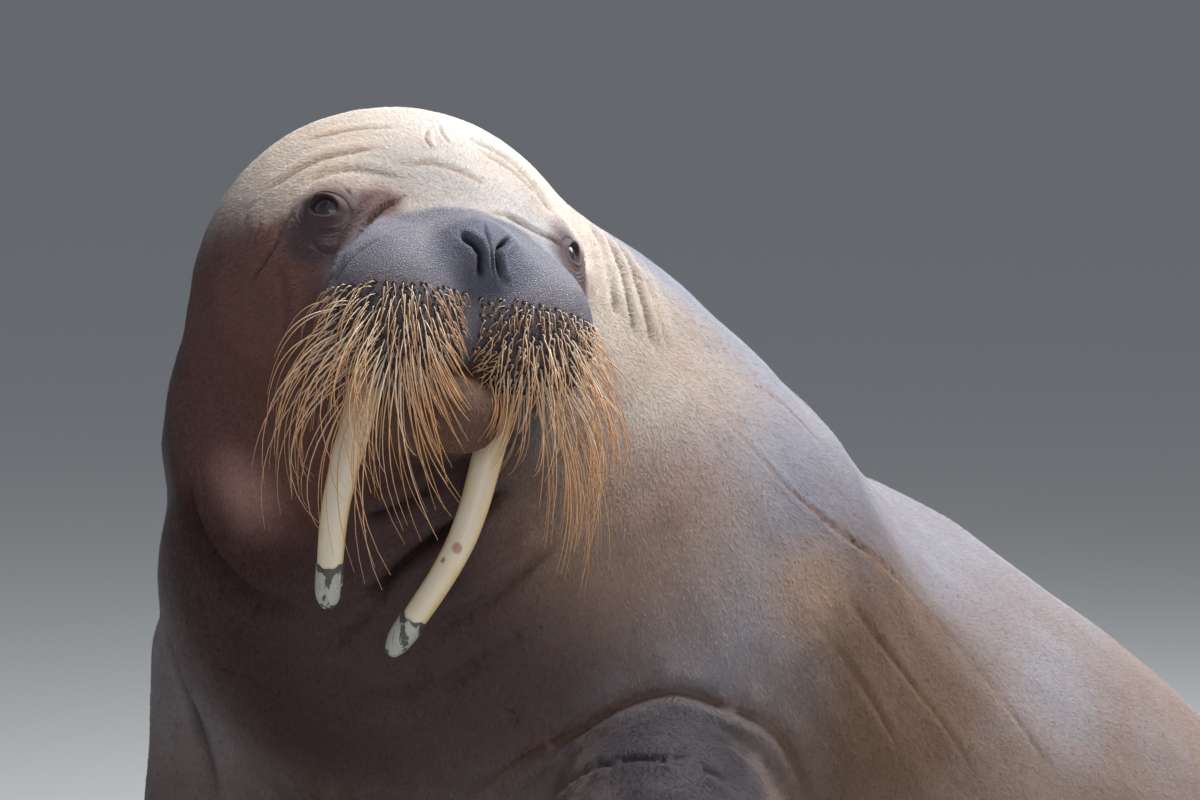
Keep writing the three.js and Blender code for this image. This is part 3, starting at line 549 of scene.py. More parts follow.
def read(items, name, width=1, kind=np.float32):
    """One value, or a row of values, for each item of a mesh."""
    values = np.empty(len(items) * width, kind)
    items.foreach_get(name, values)
    return values.reshape(-1, width) if width > 1 else values


def corners(piece):
    return read(piece.data.vertices, "co", 3).astype(float)


def set_corners(piece, points):
    piece.data.vertices.foreach_set("co", np.asarray(points, np.float32).ravel())
    piece.data.update()


def vertex_normals(piece):
    return read(piece.data.vertex_normals, "vector", 3).astype(float)


def face_middles(piece):
    return read(piece.data.polygons, "center", 3).astype(float)


def choose(piece, faces=None, vertices=None):
    """Selects some faces or some vertices, for an operator in edit mode, and nothing else."""
    mesh = piece.data
    by_face = faces is not None
    bpy.context.tool_settings.mesh_select_mode = (not by_face, False, by_face)
    for items, chosen in ((mesh.polygons, faces), (mesh.edges, None), (mesh.vertices, vertices)):
        items.foreach_set("select", np.zeros(len(items), bool) if chosen is None else chosen)


def refine(piece, chosen):
    choose(piece, faces=chosen)
    in_edit(bpy.ops.mesh.subdivide, chosen=True, number_cuts=1)


def soften(piece, chosen, rounds):
    choose(piece, vertices=chosen)
    in_edit(bpy.ops.mesh.vertices_smooth, chosen=True, factor=0.5, repeat=rounds)


def add_attribute(piece, name, values):
    layer = piece.data.attributes.new(name, "FLOAT", "POINT")
    layer.data.foreach_set("value", np.asarray(values, np.float32))


def shade_smooth(piece):
    make_active(piece)
    bpy.ops.object.shade_smooth()


def from_arrays(name, points, faces):
    """A joined mesh of many small things, from arrays of points and of triangles or quads."""
    mesh = bpy.data.meshes.new(name)
    count = faces.shape[1]
    mesh.vertices.add(len(points))
    mesh.vertices.foreach_set("co", np.asarray(points, np.float32).ravel())
    mesh.loops.add(faces.size)
    mesh.loops.foreach_set("vertex_index", faces.astype(np.int32).ravel())
    mesh.polygons.add(len(faces))
    mesh.polygons.foreach_set("loop_start", np.arange(0, faces.size, count, dtype=np.int32))
    mesh.update(calc_edges=True)
    piece = bpy.data.objects.new(name, mesh)
    bpy.context.scene.collection.objects.link(piece)
    return piece


def dress(piece, material, slot, *nodes):
    """Gives a finished piece its material, its body and the nodes that it stands for."""
    piece.data.materials.clear()
    piece.data.materials.append(material)
    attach(piece, "root")
    if nodes:
        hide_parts(*nodes)


# ---- Shaders ----

class Value:
    """A number in a material, which Python's operators turn into Math nodes."""

    def __init__(self, finish, socket):
        self.finish = finish
        self.socket = socket

    def maths(self, operation, *others):
        return Value(self.finish, self.finish.node(
            "ShaderNodeMath", {"operation": operation}, dict(enumerate((self, *others)))))

    def __add__(self, other):
        return self.maths("ADD", other)

    __radd__ = __add__

    def __sub__(self, other):
        return self.maths("SUBTRACT", other)

    def __rsub__(self, other):
        return (self * -1) + other

    def __mul__(self, other):
        return self.maths("MULTIPLY", other)

    __rmul__ = __mul__

    def larger(self, other):
        return self.maths("MAXIMUM", other)

    def smaller(self, other):
        return self.maths("MINIMUM", other)

    def between(self, low, high):
        """0 at low, 1 at high and smooth between; low may lie above high."""
        return Value(self.finish, self.finish.node(
            "ShaderNodeMapRange", {"interpolation_type": "SMOOTHSTEP"},
            {"Value": self, "From Min": low, "From Max": high}))


class Finish:
    """A procedural material with one principled shader."""
    # A Mix node's sockets for colours: its factor, its two colours and its result
    mix_factor, mix_first, mix_second, mix_result = 0, 6, 7, 2

    def __init__(self, name, **constants):
        self.material = bpy.data.materials.new(name)
        self.material.use_nodes = True
        self.tree = self.material.node_tree
        self.shader = next(n for n in self.tree.nodes if n.type == "BSDF_PRINCIPLED")
        for socket, value in constants.items():
            self.shader.inputs[socket.replace("_", " ")].default_value = value
        self.place = self.node("ShaderNodeTexCoord", output="Object")

    def node(self, kind, settings=None, inputs=None, output=0):
        made = self.tree.nodes.new(kind)
        for key, value in (settings or {}).items():
            setattr(made, key, value)
        for key, value in (inputs or {}).items():
            self.feed(made.inputs[key], value)
        return made.outputs[output]

    def feed(self, socket, value):
        if isinstance(value, Value):
            value = value.socket
        if isinstance(value, bpy.types.NodeSocket):
            self.tree.links.new(value, socket)
        else:
            socket.default_value = value

    def give(self, socket, value):
        self.feed(self.shader.inputs[socket], value)

    def mix(self, share, first, second, blend="MIX"):
        made = self.tree.nodes.new("ShaderNodeMix")
        made.data_type = "RGBA"
        made.blend_type = blend
        self.feed(made.inputs[self.mix_factor], share)
        for number, colour in ((self.mix_first, first), (self.mix_second, second)):
            linked = isinstance(colour, bpy.types.NodeSocket)
            self.feed(made.inputs[number], colour if linked else (*colour, 1))
        return made.outputs[self.mix_result]

    def scaled(self, sizes, turn=(0, 0, 0)):
        return self.node("ShaderNodeMapping", None, {
            "Vector": self.place, "Rotation": turn, "Scale": sizes})

    def noise(self, scale, detail=3, rough=0.55, place=None, warp=0):
        return Value(self, self.node("ShaderNodeTexNoise", None, {
            "Vector": place or self.place, "Scale": scale, "Detail": detail,
            "Roughness": rough, "Distortion": warp}))

    def cells(self, scale, place):
        return Value(self, self.node("ShaderNodeTexVoronoi", {"feature": "DISTANCE_TO_EDGE"}, {
            "Vector": place, "Scale": scale}))

    def vector(self, operation, first, second=None, output=0):
        inputs = {0: first} if second is None else {0: first, 1: second}
        return self.node("ShaderNodeVectorMath", {"operation": operation}, inputs, output)

    def distance(self, centre):
        return Value(self, self.vector("DISTANCE", self.place, tuple(centre), "Value"))

    def shifted(self, scale, detail, reach):
        """The place on the animal, pushed to and fro by a soft noise."""
        sway = self.node("ShaderNodeTexNoise", None, {
            "Vector": self.place, "Scale": scale, "Detail": detail}, "Color")
        sway = self.node("ShaderNodeVectorMath", {"operation": "SCALE"}, {0: sway, "Scale": reach})
        return self.vector("ADD", self.place, sway)

    def attribute(self, name):
        return Value(self, self.node("ShaderNodeAttribute", {"attribute_name": name}, output="Fac"))

    def in_head(self, centre, half):
        """Distance from a point in the head's frame, in shares of half-sizes along its axes."""
        away = self.vector("SUBTRACT", self.place, tuple(HEAD_AT + centre @ HEAD_AXES))
        shares = [self.vector("DOT_PRODUCT", away, tuple(axis / size), "Value")
                  for axis, size in zip(HEAD_AXES, half)]
        local = self.node("ShaderNodeCombineXYZ", None, dict(enumerate(shares)))
        return Value(self, self.vector("LENGTH", local, output="Value"))

    def bump(self, height, distance, strength):
        return self.node("ShaderNodeBump", None, {
            "Height": height, "Distance": distance, "Strength": strength})


def colours():
    return bpy.context.scene.walrus_colours


def eye_centre(side):
    """The middle of the eye's opening and the way it faces, in the head's frame."""
    at = EYE_AT * (1, side, 1)
    return at, unit(at - EYE_FACES_FROM)


def near_eyes(local, reach):
    """Which points in the head's frame lie within a reach of an eye's opening."""
    return np.any([np.linalg.norm(local - eye_centre(side)[0], axis=1) < reach
                   for side in SIDES.values()], axis=0)


def mixed(finish, colour, *layers):
    """A colour with others laid over it in turn: how strongly, and a tone's name or a colour."""
    for share, tone in layers:
        colour = finish.mix(share, colour, TONES[tone] if isinstance(tone, str) else tone)
    return colour


def mottled(finish, colour, light, middle, *ends):
    """A colour made paler or darker as light goes from a middle value to either end."""
    for end, share, tone in ends:
        colour = finish.mix(light.between(middle, end) * share, colour, TONES[tone], "SOFT_LIGHT")
    return colour


def muzzle_colour(finish, colour, wobble, patchy, speckle):
    """Bare skin of the muzzle, the nose, the whisker pads and the chin; also where it is bare."""
    tones = colours()
    muzzle = (finish.in_head(*MUZZLE_PATCH) + wobble * 1.2).between(1.06, 0.95)
    nose = (finish.in_head(*NOSE_PATCH) + wobble).between(1.25, 0.80)
    worn = (patchy + speckle * 0.3).between(0.45, 0.85)
    slate = mixed(finish, tones.muzzle, (worn * 0.55, "muzzle_worn"), (nose * 0.75, "nose"))
    left, right = (
        finish.in_head(np.array(centre) - (0, 0, 0.012), np.array(half))
        for centre, half in (FACE_MASSES[f"pad_{name}"] for name in SIDES))
    pad = (left.smaller(right) + wobble).between(1.10, 0.98)
    chin = finish.in_head(*CHIN_PATCH).between(1.15, 0.95)
    colour = mixed(finish, colour, (muzzle, slate), (pad * 0.8, tones.pad), (chin, "chin"))
    return colour, muzzle.larger(pad)


def hide_colour(finish, centres):
    """The markings that the skin and the coat share; the bluer top is partly painted sky sheen, the
    darker underside partly painted shade.
    """
    tones = colours()
    height = Value(finish, finish.node("ShaderNodeSeparateXYZ", None, {0: finish.place}, "Z"))
    broad = finish.noise(3.2, 4, 0.6)
    patchy = finish.noise(16, 6, 0.68, warp=0.4)
    speckle = finish.noise(240, 5, 0.75)
    wobble = (broad - 0.5) * 0.10 + (patchy - 0.5) * 0.05
    # Paler, bluer higher up: partly the back's own grey, partly painted sky sheen on the upper side
    pale_back_and_sheen = (height * 1.1 + broad * 0.9 + patchy * 0.5).between(0.85, 1.75)
    # Darker lower down: partly the underside's own brown, partly painted shade
    underside_and_shade = (height + broad * 0.12).between(0.26, 0.10)
    colour = mixed(finish, tones.hide, (pale_back_and_sheen, tones.pale_back_and_sheen), (underside_and_shade, tones.underside_and_shade))
    for centre, radius, softness, tone, strength in centres:
        near = (finish.distance(centre) + wobble * (radius * 4)).between(
            radius, radius * (1 - softness))
        colour = finish.mix(near * strength, colour, tone)
    rusty = (patchy * 0.6 + speckle * 0.55).between(0.52, 0.78)
    colour = finish.mix(rusty * 0.62, colour, finish.mix(0.5, colour, tones.stain, "OVERLAY"))
    colour, bare = muzzle_colour(finish, colour, wobble, patchy, speckle)
    for side in SIDES.values():
        ring = finish.in_head(eye_centre(side)[0] - (0, 0, 0.014), np.full(3, EYE_PATCH))
        colour = finish.mix((ring + wobble * 2).between(1.15, 0.62), colour, tones.lid)
    low = (height + wobble).between(0.20, 0.07)
    for (x, y), _, length, _, _ in HANDS.values():
        away = finish.distance((x, y, 0.0)) + wobble
        limb = away.between(length * 1.75, length * 0.95)
        near = away.between(length * 1.35, length * 0.85)
        colour = mixed(finish, colour, (limb * 0.85, "limb"), (near * low, tones.flipper))
    light = (speckle - 0.5) * 0.9 + (patchy - 0.5) * 0.5 + (broad - 0.5) * 0.5
    colour = mottled(finish, colour, light, 0,
                     (0.5, 0.42, "mottle_pale"), (-0.5, 0.58, "mottle_dark"))
    return colour, bare, speckle, patchy


def hide_finish(centres):
    """Thick skin: stained beside its folds, cracked on the muzzle, with painted shade in the folds,
    cracks and fine creases.
    """
    finish = Finish("hide", Roughness=0.62, Specular_IOR_Level=0.25)
    colour, bare, speckle, patchy = hide_colour(finish, centres)
    crease_shade, stain = finish.attribute("crease_shade"), finish.attribute("stain")
    streaks = finish.noise(1, 4, 0.6, finish.scaled((420, 230, 260), turn=(0.7, 0, 0)))
    cracks = finish.cells(420, finish.shifted(160.0, 2.0, 0.004)).between(0.0, 0.30)
    creases = finish.cells(70, finish.shifted(22.0, 3.0, 1.0)).between(0.0, 0.06)
    # Stain, then painted shade in the creases, in the muzzle's fine cracks and along the body's fine
    # creases
    finish.give("Base Color", mixed(
        finish, colour, (stain * 0.75, colours().stain), (crease_shade.between(0.05, 0.85) * 0.85, "crease_shade"),
        (bare * (1 - cracks) * 0.38, "crack_shade"), ((1 - creases) * 0.22, "fine_crease_shade")))
    height = streaks * 0.5 + speckle * 0.5 + creases * 0.35 + bare * (cracks * 1.5)
    finish.give("Normal", finish.bump(height, 0.0016, 0.75))
    finish.give("Roughness", 0.66 - bare * 0.14 - crease_shade * 0.1 + (patchy - 0.5) * 0.25)
    return finish.material


def coat_finish(centres):
    """Hair in the hide's colours with painted shade in the creases, each tuft a little paler or darker.
    """
    finish = Finish("coat", Roughness=0.6, Specular_IOR_Level=0.15)
    colour = hide_colour(finish, centres)[0]
    shade, stain = finish.attribute("shade"), finish.attribute("stain")
    crease_shade = finish.attribute("crease_shade").between(0.05, 0.85)
    colour = mixed(finish, colour, (stain * 0.6, colours().stain), (crease_shade * 0.8, "coat_crease_shade"))
    finish.give("Base Color", mottled(
        finish, colour, shade, 0.45, (1, 0.55, "tuft_pale"), (0, 0.52, "tuft_dark")))
    finish.give("Roughness", 0.5 + shade * 0.25)
    return finish.material


def whisker_finish():
    finish = Finish("whisker_horn", Roughness=0.38, Specular_IOR_Level=0.5)
    tones = colours()
    along, shade = finish.attribute("along"), finish.attribute("shade")
    finish.give("Base Color", mixed(
        finish, tones.whisker_root, (along.between(0.0, 0.62), tones.whisker_tip),
        ((1 - shade) * 0.50, "whisker_dark"), (shade.between(0.7, 1.0) * 0.35, "whisker_pale")))
    finish.give("Roughness", 0.32 + along * 0.15)
    return finish.material


# Near-black collars that are painted shade of the pits round the whisker roots
def pit_shade_finish():
    finish = Finish("follicle_pit_shade", Specular_IOR_Level=0.3)
    blotch = finish.noise(220, 3)
    finish.give("Base Color", mixed(finish, TONES["pit_shade_dark"], (blotch, "pit_shade_pale")))
    finish.give("Roughness", 0.55 + blotch * 0.2)
    return finish.material


def ivory_finish(name, marks):
    """Cream ivory with a paler front, a fine grain and a few stains."""
    finish = Finish(f"ivory_{name}", Specular_IOR_Level=0.5, Coat_Roughness=0.25)
    along, front = finish.attribute("along"), finish.attribute("front")
    grain = finish.noise(1, 5, 0.62, finish.scaled((260, 260, 26), turn=(0.30, -0.12, 0)))
    blotch = finish.noise(26, 4, 0.6)
    stripe = (front + (blotch - 0.5) * 0.5).between(0.35, 0.95) * along.between(0.05, 0.35)
    streak = (grain * 0.7 + blotch * 0.3).between(0.56, 0.76)
    spots = [((finish.distance(place) + (grain - 0.5) * 0.006).between(size, size * 0.45) * 0.8,
              tone) for place, size, tone in marks]
    finish.give("Base Color", mixed(
        finish, colours().ivory, (blotch.between(0.35, 0.7) * 0.6, "ivory_blotch"),
        (stripe * 0.62, "ivory_front"), (streak * 0.35, "ivory_grain"),
        (along.between(0.36, 0.0) * 0.45, "ivory_root"), *spots))
    finish.give("Roughness", 0.28 + grain * 0.22)
    finish.give("Coat Weight", 0.35 - grain * 0.2)
    finish.give("Normal", finish.bump(grain + blotch * 0.4, 0.0005, 0.6))
    return finish.material


def cap_finish():
    """Painted metal that has flaked to bare, scratched metal, most at the ends."""
    finish = Finish("cap_metal", Specular_IOR_Level=0.5)
    flakes = finish.noise(58, 7, 0.58, finish.scaled((1, 1, 0.55)), warp=0.9)
    along = finish.attribute("along")
    bare = (flakes + along.between(0.25, 0.0) * 0.16 + along.between(0.75, 1.0) * 0.14
            ).between(0.535, 0.560)
    scratches = finish.noise(1, 4, 0.7, finish.scaled((600, 600, 80)))
    pale = mixed(finish, colours().cap, (scratches.between(0.4, 0.7), "cap_scratch"))
    dark = mixed(finish, TONES["metal_dark"], (scratches, "metal_pale"))
    finish.give("Base Color", finish.mix(bare, pale, dark))
    finish.give("Metallic", bare * 0.55 + 0.1)
    finish.give("Roughness", 0.42 + scratches * 0.25)
    finish.give("Normal", finish.bump((1 - bare) * 0.7 + scratches * 0.15, 0.0007, 0.8))
    return finish.material


def eye_finish(name):
    """A wet ball: black pupil, brown iris, dark rim and reddish corners, by distance."""
    finish = Finish(f"eye_wet_{name}", Roughness=0.12,
                    Coat_Roughness=0.03, Specular_IOR_Level=0.3)
    at, outward = eye_centre(SIDES[name])
    pole = to_world(at + outward * (EYE_BALL - EYE_SINK[name]) + np.array([0.0015, 0, 0.0015]))
    off = finish.distance(pole)
    uneven = finish.noise(240, 4, 0.6) - 0.5
    iris = (off + uneven * 0.001).between(0.0046, 0.0054)
    rim = (off + uneven * 0.002).between(0.0085, 0.0115)
    finish.give("Base Color", mixed(
        finish, TONES["pupil"], (iris, colours().iris), (rim, "eye_rim"),
        (off.between(0.0135, 0.0170), "eye_corner")))
    finish.give("Coat Weight", 0.55)
    return finish.material


def nail_finish():
    finish = Finish("nail_horn", Specular_IOR_Level=0.45)
    grain = finish.noise(140, 4)
    finish.give("Base Color", mixed(finish, TONES["nail_dark"], (grain, "nail_pale")))
    finish.give("Roughness", 0.40 + grain * 0.2)
    return finish.material


# ---- The hide ----

def muzzle_without_whiskers():
    piece = node_copy("muzzle")
    points = to_head(corners(piece))
    stray = outside_face(points) > 0.0012
    points[stray] = drawn_to_face(points[stray], 0.0)
    set_corners(piece, to_world(points))
    return piece


def mass_cores():
    """Full forms inside the face, which close the sockets and the roots of the tusks."""
    turn = Matrix(HEAD_AXES.T.tolist()).to_euler()
    cores = []
    for centre, half in [*FACE_MASSES.values(), *JAW_MASSES.values()]:
        bpy.ops.mesh.primitive_ico_sphere_add(
            subdivisions=4, radius=1, location=to_world(np.array(centre)), rotation=turn,
            scale=np.array(half) - 0.003)
        bpy.ops.object.transform_apply()
        cores.append(bpy.context.object)
    return cores


def flesh_skin(settings):
    """One closed skin over the flesh nodes."""
    deselect()
    parts = [node_copy(name) for name in [*FLESH, "eye_left", "eye_right"]]
    skin = join([muzzle_without_whiskers(), *parts, *mass_cores()], "hide")
    skin.data.remesh_voxel_size = settings.grain
    bpy.ops.object.voxel_remesh()
    height = corners(skin)[:, 2]
    flipper_height, floor_height = 0.075, 0.004
    soften(skin, height >= flipper_height, 14)
    soften(skin, (height < flipper_height) & (height > floor_height), 3)
    for name in SIDES:
        ear = np.array(sum(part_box(f"ear_{name}"), Vector())) / 2
        soften(skin, np.linalg.norm(corners(skin) - ear, axis=1) < 0.045, 16)
    return skin


def decimate(skin, share, group=""):
    """Fewer faces, from those in a vertex group where one is named."""
    make_active(skin)
    thin = skin.modifiers.new("thin", "DECIMATE")
    thin.ratio = share
    thin.vertex_group = group
    bpy.ops.object.modifier_apply(modifier=thin.name)


def thin_out(skin, share):
    """Fewer faces on the broad body, none taken from the head and the flippers."""
    points = corners(skin)
    local = to_head(points)
    free = ease(np.linalg.norm(local - HEAD_CORE, axis=1), 0.24, 0.34)
    free = free * ease(points[:, 2], 0.05, 0.12)
    group = skin.vertex_groups.new(name="broad")
    for low, high in ((0, 0.25), (0.25, 0.5), (0.5, 1)):
        chosen = np.nonzero((free > low) & (free <= high))[0]
        group.add(chosen.tolist(), high, "REPLACE")
    decimate(skin, share, group.name)
    skin.vertex_groups.clear()


# A crease needs this many points on the skin, and ends where it would leap to a form behind
LEAST_HITS = 3
CREASE_LEAP = 0.045


def drawn_creases(skin):
    """Each crease as points and normals on the skin."""
    tree = BVHTree.FromObject(skin, bpy.context.evaluated_depsgraph_get())
    lines = {}
    for name, (deep, wide, bulge, stain, pixels) in CREASES.items():
        hits = [hit for hit in (seen_at(tree, p) for p in smooth_line(pixels, 1.0)) if hit]
        if len(hits) < LEAST_HITS:
            continue
        points, normals = (np.array([hit[k] for hit in hits]) for k in (0, 1))
        leaps = np.linalg.norm(np.diff(points, axis=0), axis=1) >= CREASE_LEAP
        last = np.argmax(leaps) + 1 if leaps.any() else len(points)
        if last >= LEAST_HITS:
            lines[name] = (deep / 1000, wide / 1000, bulge / 1000, stain,
                           points[:last], normals[:last])
    return lines


def gap_to(points, line):
    """Each point's distance to a line of close points, and which of them is nearest."""
    nearest = np.empty(len(points), int)
    away = np.empty(len(points))
    middle = line.mean(0)
    line = line - middle
    batch = 3000
    for start in range(0, len(points), batch):
        some = slice(start, start + batch)
        spots = points[some] - middle
        square = (spots ** 2).sum(1)[:, None] - 2 * spots @ line.T + (line ** 2).sum(1)[None]
        nearest[some] = square.argmin(1)
        away[some] = np.sqrt(np.maximum(square.min(1), 0))
    return away, nearest


def boxed(points, line, reach):
    return np.nonzero(((points > line.min(0) - reach) & (points < line.max(0) + reach)).all(1))[0]


def near_lines(points, lines, reach):
    """Which points lie within a reach of any crease."""
    near = np.zeros(len(points), bool)
    for *_, line, _ in lines.values():
        found = boxed(points, line, reach)
        near[found[gap_to(points[found], line[::3])[0] < reach]] = True
    return near


def press_creases(points, normals, lines, relief):
    """Moves points into the creases and out beside them; also each point's painted crease shade and
    stain.
    """
    offset = np.zeros(len(points))
    crease_shade = np.zeros(len(points))
    stained = np.zeros(len(points))
    for deep, wide, bulge, stain, line, facing in lines.values():
        reach = wide * 3.2
        found = boxed(points, line, reach)
        away, nearest = gap_to(points[found], line)
        close = away < reach
        found, nearest, away = found[close], nearest[close], away[close]
        along = unit(np.gradient(line, axis=0))
        side = np.cross(facing, along)
        over = ((points[found] - line[nearest]) * side[nearest]).sum(1) / np.maximum(away, 1e-6)
        share = nearest / (len(line) - 1)
        taper = ease(share, -0.02, 0.22) * ease(share, 1.02, 0.78)
        groove = np.exp(-np.square(away / (wide * 0.36)))
        lip = np.exp(-np.square((away - wide * 1.05) / (wide * 0.60)))
        lifted = (0.70 + 0.30 * np.clip(over, -1, 1)) * bulge * lip
        offset[found] += relief * taper * (lifted - deep * groove)
        crease_shade[found] = np.maximum(crease_shade[found], taper * groove * min(1, 0.75 * deep / wide))
        halo = np.exp(-np.square(away / (wide * 0.55)))
        stained[found] = np.maximum(stained[found], taper * halo * stain)
    return points + normals * offset[:, None], crease_shade, stained


def lid_shape(local):
    """Points in the head's frame moved into domed, wrinkled lids with an opening for the ball.

    x and y run along and up the opening, z out of it, and open_ is 1 at its edge. The dome is
    built first, then the lids' rims, fine rings, the hood's groove, and the cup for the ball."""
    crease_shade = np.zeros(len(local))
    for name, side in SIDES.items():
        at, outward = eye_centre(side)
        level = unit(np.cross([0, 0, 1], outward)) * side
        upright = np.cross(outward, level) * side
        rel = local - at
        x, y = rel @ level, rel @ upright
        x, y = x * 0.985 + y * 0.17, y * 0.985 - x * 0.17
        z = rel @ outward
        far = np.sqrt(x * x + 1.05 * y * y)
        near = (far < 0.060) & (z > -0.030) & (z < 0.040)
        above = ease(y, -0.004, 0.010)
        dome = 0.0135 + 0.0015 * above - np.square(far - 0.002 * above) / (0.040 + 0.014 * above)
        dome = dome - 0.010 * (side > 0)
        soft = 0.0035
        lift = soft * np.logaddexp(0, dome / soft) - soft * np.logaddexp(0, -2.5)
        open_ = np.sqrt(np.square(x / EYE_OPEN[0]) + np.square(y / EYE_OPEN[1]))
        lift = lift + (0.0016 + 0.0012 * above) * np.exp(-np.square((open_ - 1.30) / 0.24))
        warp = 0.5 * rolling(local, 160, 12)
        rings = np.exp(-np.square((open_ - 2.5) / 0.9))
        rings = rings * np.cos(open_ * 2 * math.pi / 0.42 + warp * 3)
        lift = lift + rings * 0.00045 * (1 - 0.7 * above)
        hood = np.exp(-np.square((open_ - 1.72) / 0.12)) * above
        lift = lift - 0.0018 * hood
        under = np.sqrt(np.maximum((EYE_BALL - 0.0018) ** 2 - np.square(far), 0)) - EYE_SINK[name]
        inside = ease(open_, 1.10, 0.92)
        base = z - lid_base(rel, outward, side)
        target = (z - base) + lift
        target = target * (1 - inside) + under * inside
        fade = ease(far, 0.058, 0.040) * near
        local = local + (fade * (target - z))[:, None] * outward
        # Painted shade inside the opening, along the lids' rim and in the hood's groove
        crease_shade = np.maximum(crease_shade, near * inside * 0.9)
        crease_shade = np.maximum(crease_shade, near * np.exp(-np.square((open_ - 1.08) / 0.07)) * 0.6)
        crease_shade = np.maximum(crease_shade, near * hood * 0.5)
    return local, crease_shade


def lid_base(rel, outward, side):
    """Height of the plain face along the eye's own axis, above the middle of the opening."""
    at, _ = eye_centre(side)
    z = rel @ outward
    flat = rel - z[:, None] * outward
    height = np.zeros(len(rel))
    close = np.linalg.norm(flat, axis=1) < 0.065
    for _ in range(6):
        spot = at + flat[close] + height[close, None] * outward
        height[close] -= np.clip(outside_face(spot), -0.01, 0.01)
    return height


def sculpt_face(skin, lines, settings):
    points = corners(skin)
    local = to_head(points)
    face = np.linalg.norm(local - (0.02, 0, -0.08), axis=1)
    ahead = ease(local[:, 0], -0.105, -0.045)
    touched = (ahead > 0) & (face < 0.30)
    away = outside_face(local[touched])
    weight = ahead[touched] * ease(np.abs(away), 0.030, 0.012)
    settled = drawn_to_face(local[touched], -settings.depth)
    local[touched] += weight[:, None] * (settled - local[touched])
    local, lids = lid_shape(local)
    set_corners(skin, to_world(local))
    points = corners(skin)
    points, crease_shade, stained = press_creases(points, vertex_normals(skin), lines, settings.relief)
    set_corners(skin, points)
    return np.maximum(crease_shade, lids), stained


def rolling(points, scale, seed):
    """A gentle, repeatable swell from a few crossing waves, about -1 to 1."""
    rng = np.random.default_rng(seed)
    total = np.zeros(len(points))
    for _ in range(7):
        ray = unit(rng.normal(size=3)) * scale * rng.uniform(0.7, 1.5)
        total += np.sin(points @ ray + rng.uniform(0, 2 * math.pi))
    return total / 4.0


def swell(skin):
    """Loose skin: slow unevenness all over the body, less on the face and none on the floor."""
    points = corners(skin)
    local = to_head(points)
    body = ease(np.linalg.norm(local - HEAD_CORE, axis=1), 0.16, 0.34)
    off_floor = ease(points[:, 2], 0.012, 0.090)
    rise = rolling(points, 26, 3) * 0.0018 + rolling(points, 75, 5) * 0.0008
    rise = (rise - 0.0022) * body * off_floor + rolling(points, 150, 8) * 0.00035 * off_floor
    points += vertex_normals(skin) * rise[:, None]
    set_corners(skin, points)


def ease_snags(skin, rounds=10):
    """Smooths the few spots where the skin has folded back over itself."""
    choose(skin)
    bpy.ops.object.mode_set(mode="EDIT")
    bpy.ops.mesh.select_mode(type="EDGE")
    bpy.ops.mesh.edges_select_sharp(sharpness=math.radians(95))
    bpy.ops.mesh.select_mode(type="VERT")
    bpy.ops.mesh.select_more()
    bpy.ops.mesh.select_more()
    bpy.ops.mesh.vertices_smooth(factor=0.5, repeat=rounds)
    bpy.ops.object.mode_set(mode="OBJECT")


class WALRUS_OT_hide(bpy.types.Operator):
    """Lay one skin over the flesh and press the creases into it"""
    bl_idname = "walrus.hide"
    bl_label = "Hide"

    def execute(self, context):
        settings = context.scene.walrus_hide
        skin = flesh_skin(settings)
        thin_out(skin, settings.kept)
        lines = self.refined(skin)
        swell(skin)
        crease_shade, stained = sculpt_face(skin, lines, settings)
        add_attribute(skin, "crease_shade", crease_shade)
        add_attribute(skin, "stain", stained)
        make_active(skin)
        in_edit(bpy.ops.mesh.quads_convert_to_tris)
        decimate(skin, settings.faces / len(skin.data.polygons))
        ease_snags(skin)
        shade_smooth(skin)
        bpy.context.tool_settings.mesh_select_mode = (False, False, True)
        in_edit(bpy.ops.uv.smart_project, angle_limit=math.radians(66), island_margin=0.002)
        skin.data.uv_layers.active.name = "OFBake"
        dress(skin, hide_finish(marking_centres(skin)), "hide", "muzzle", *FLESH)
        return {"FINISHED"}

    def refined(self, skin):
        """Finer faces in four rounds: the face, along the creases, in them, then nose and lids."""
        make_active(skin)
        local = to_head(face_middles(skin))
        refine(skin, (local[:, 0] > -0.11) & (np.linalg.norm(local, axis=1) < 0.30))
        lines = drawn_creases(skin)
        refine(skin, near_lines(face_middles(skin), lines, 0.016))
        middles = face_middles(skin)
        refine(skin, near_lines(middles, lines, 0.0065) | near_eyes(to_head(middles), 0.036))
        local = to_head(face_middles(skin))
        nose = np.linalg.norm(local - NOSE_PATCH[0], axis=1) < 0.036
        refine(skin, nose | near_eyes(local, 0.020))
        return lines


def marking_centres(skin):
    tree = BVHTree.FromObject(skin, bpy.context.evaluated_depsgraph_get())
    centres = []
    for pixel, radius, softness, tone, strength, paired in MARKINGS:
        hit = seen_at(tree, pixel)
        if hit is None:
            raise RuntimeError(f"no skin at {pixel}")
        centres.append((hit[0], radius, softness, tone, strength))
        if paired:
            other = to_world(to_head(hit[0][None])[0] * (1, -1, 1))
            centres.append((other, radius, softness, tone, strength))
    return centres


# ---- The coat ----

def lie_of_coat(points):
    """The way the hair points: back from the nose, then along the spine and a little down."""
    middles = (SPINE[1:] + SPINE[:-1]) / 2
    runs = unit(np.diff(SPINE, axis=0))
    pull = np.exp(-np.square(np.linalg.norm(points[:, None] - middles[None], axis=2) / 0.25))
    body = unit(pull @ runs)
    body[:, 2] -= 0.45
    local = to_head(points)
    head = ease(np.linalg.norm(local - HEAD_CORE, axis=1), 0.34, 0.24)
    head = ease(local[:, 0], -0.30, -0.16) * head
    back = -HEAD_AXES[0] * 0.9 - HEAD_AXES[2] * 0.35
    return body * (1 - head[:, None]) + back * head[:, None]


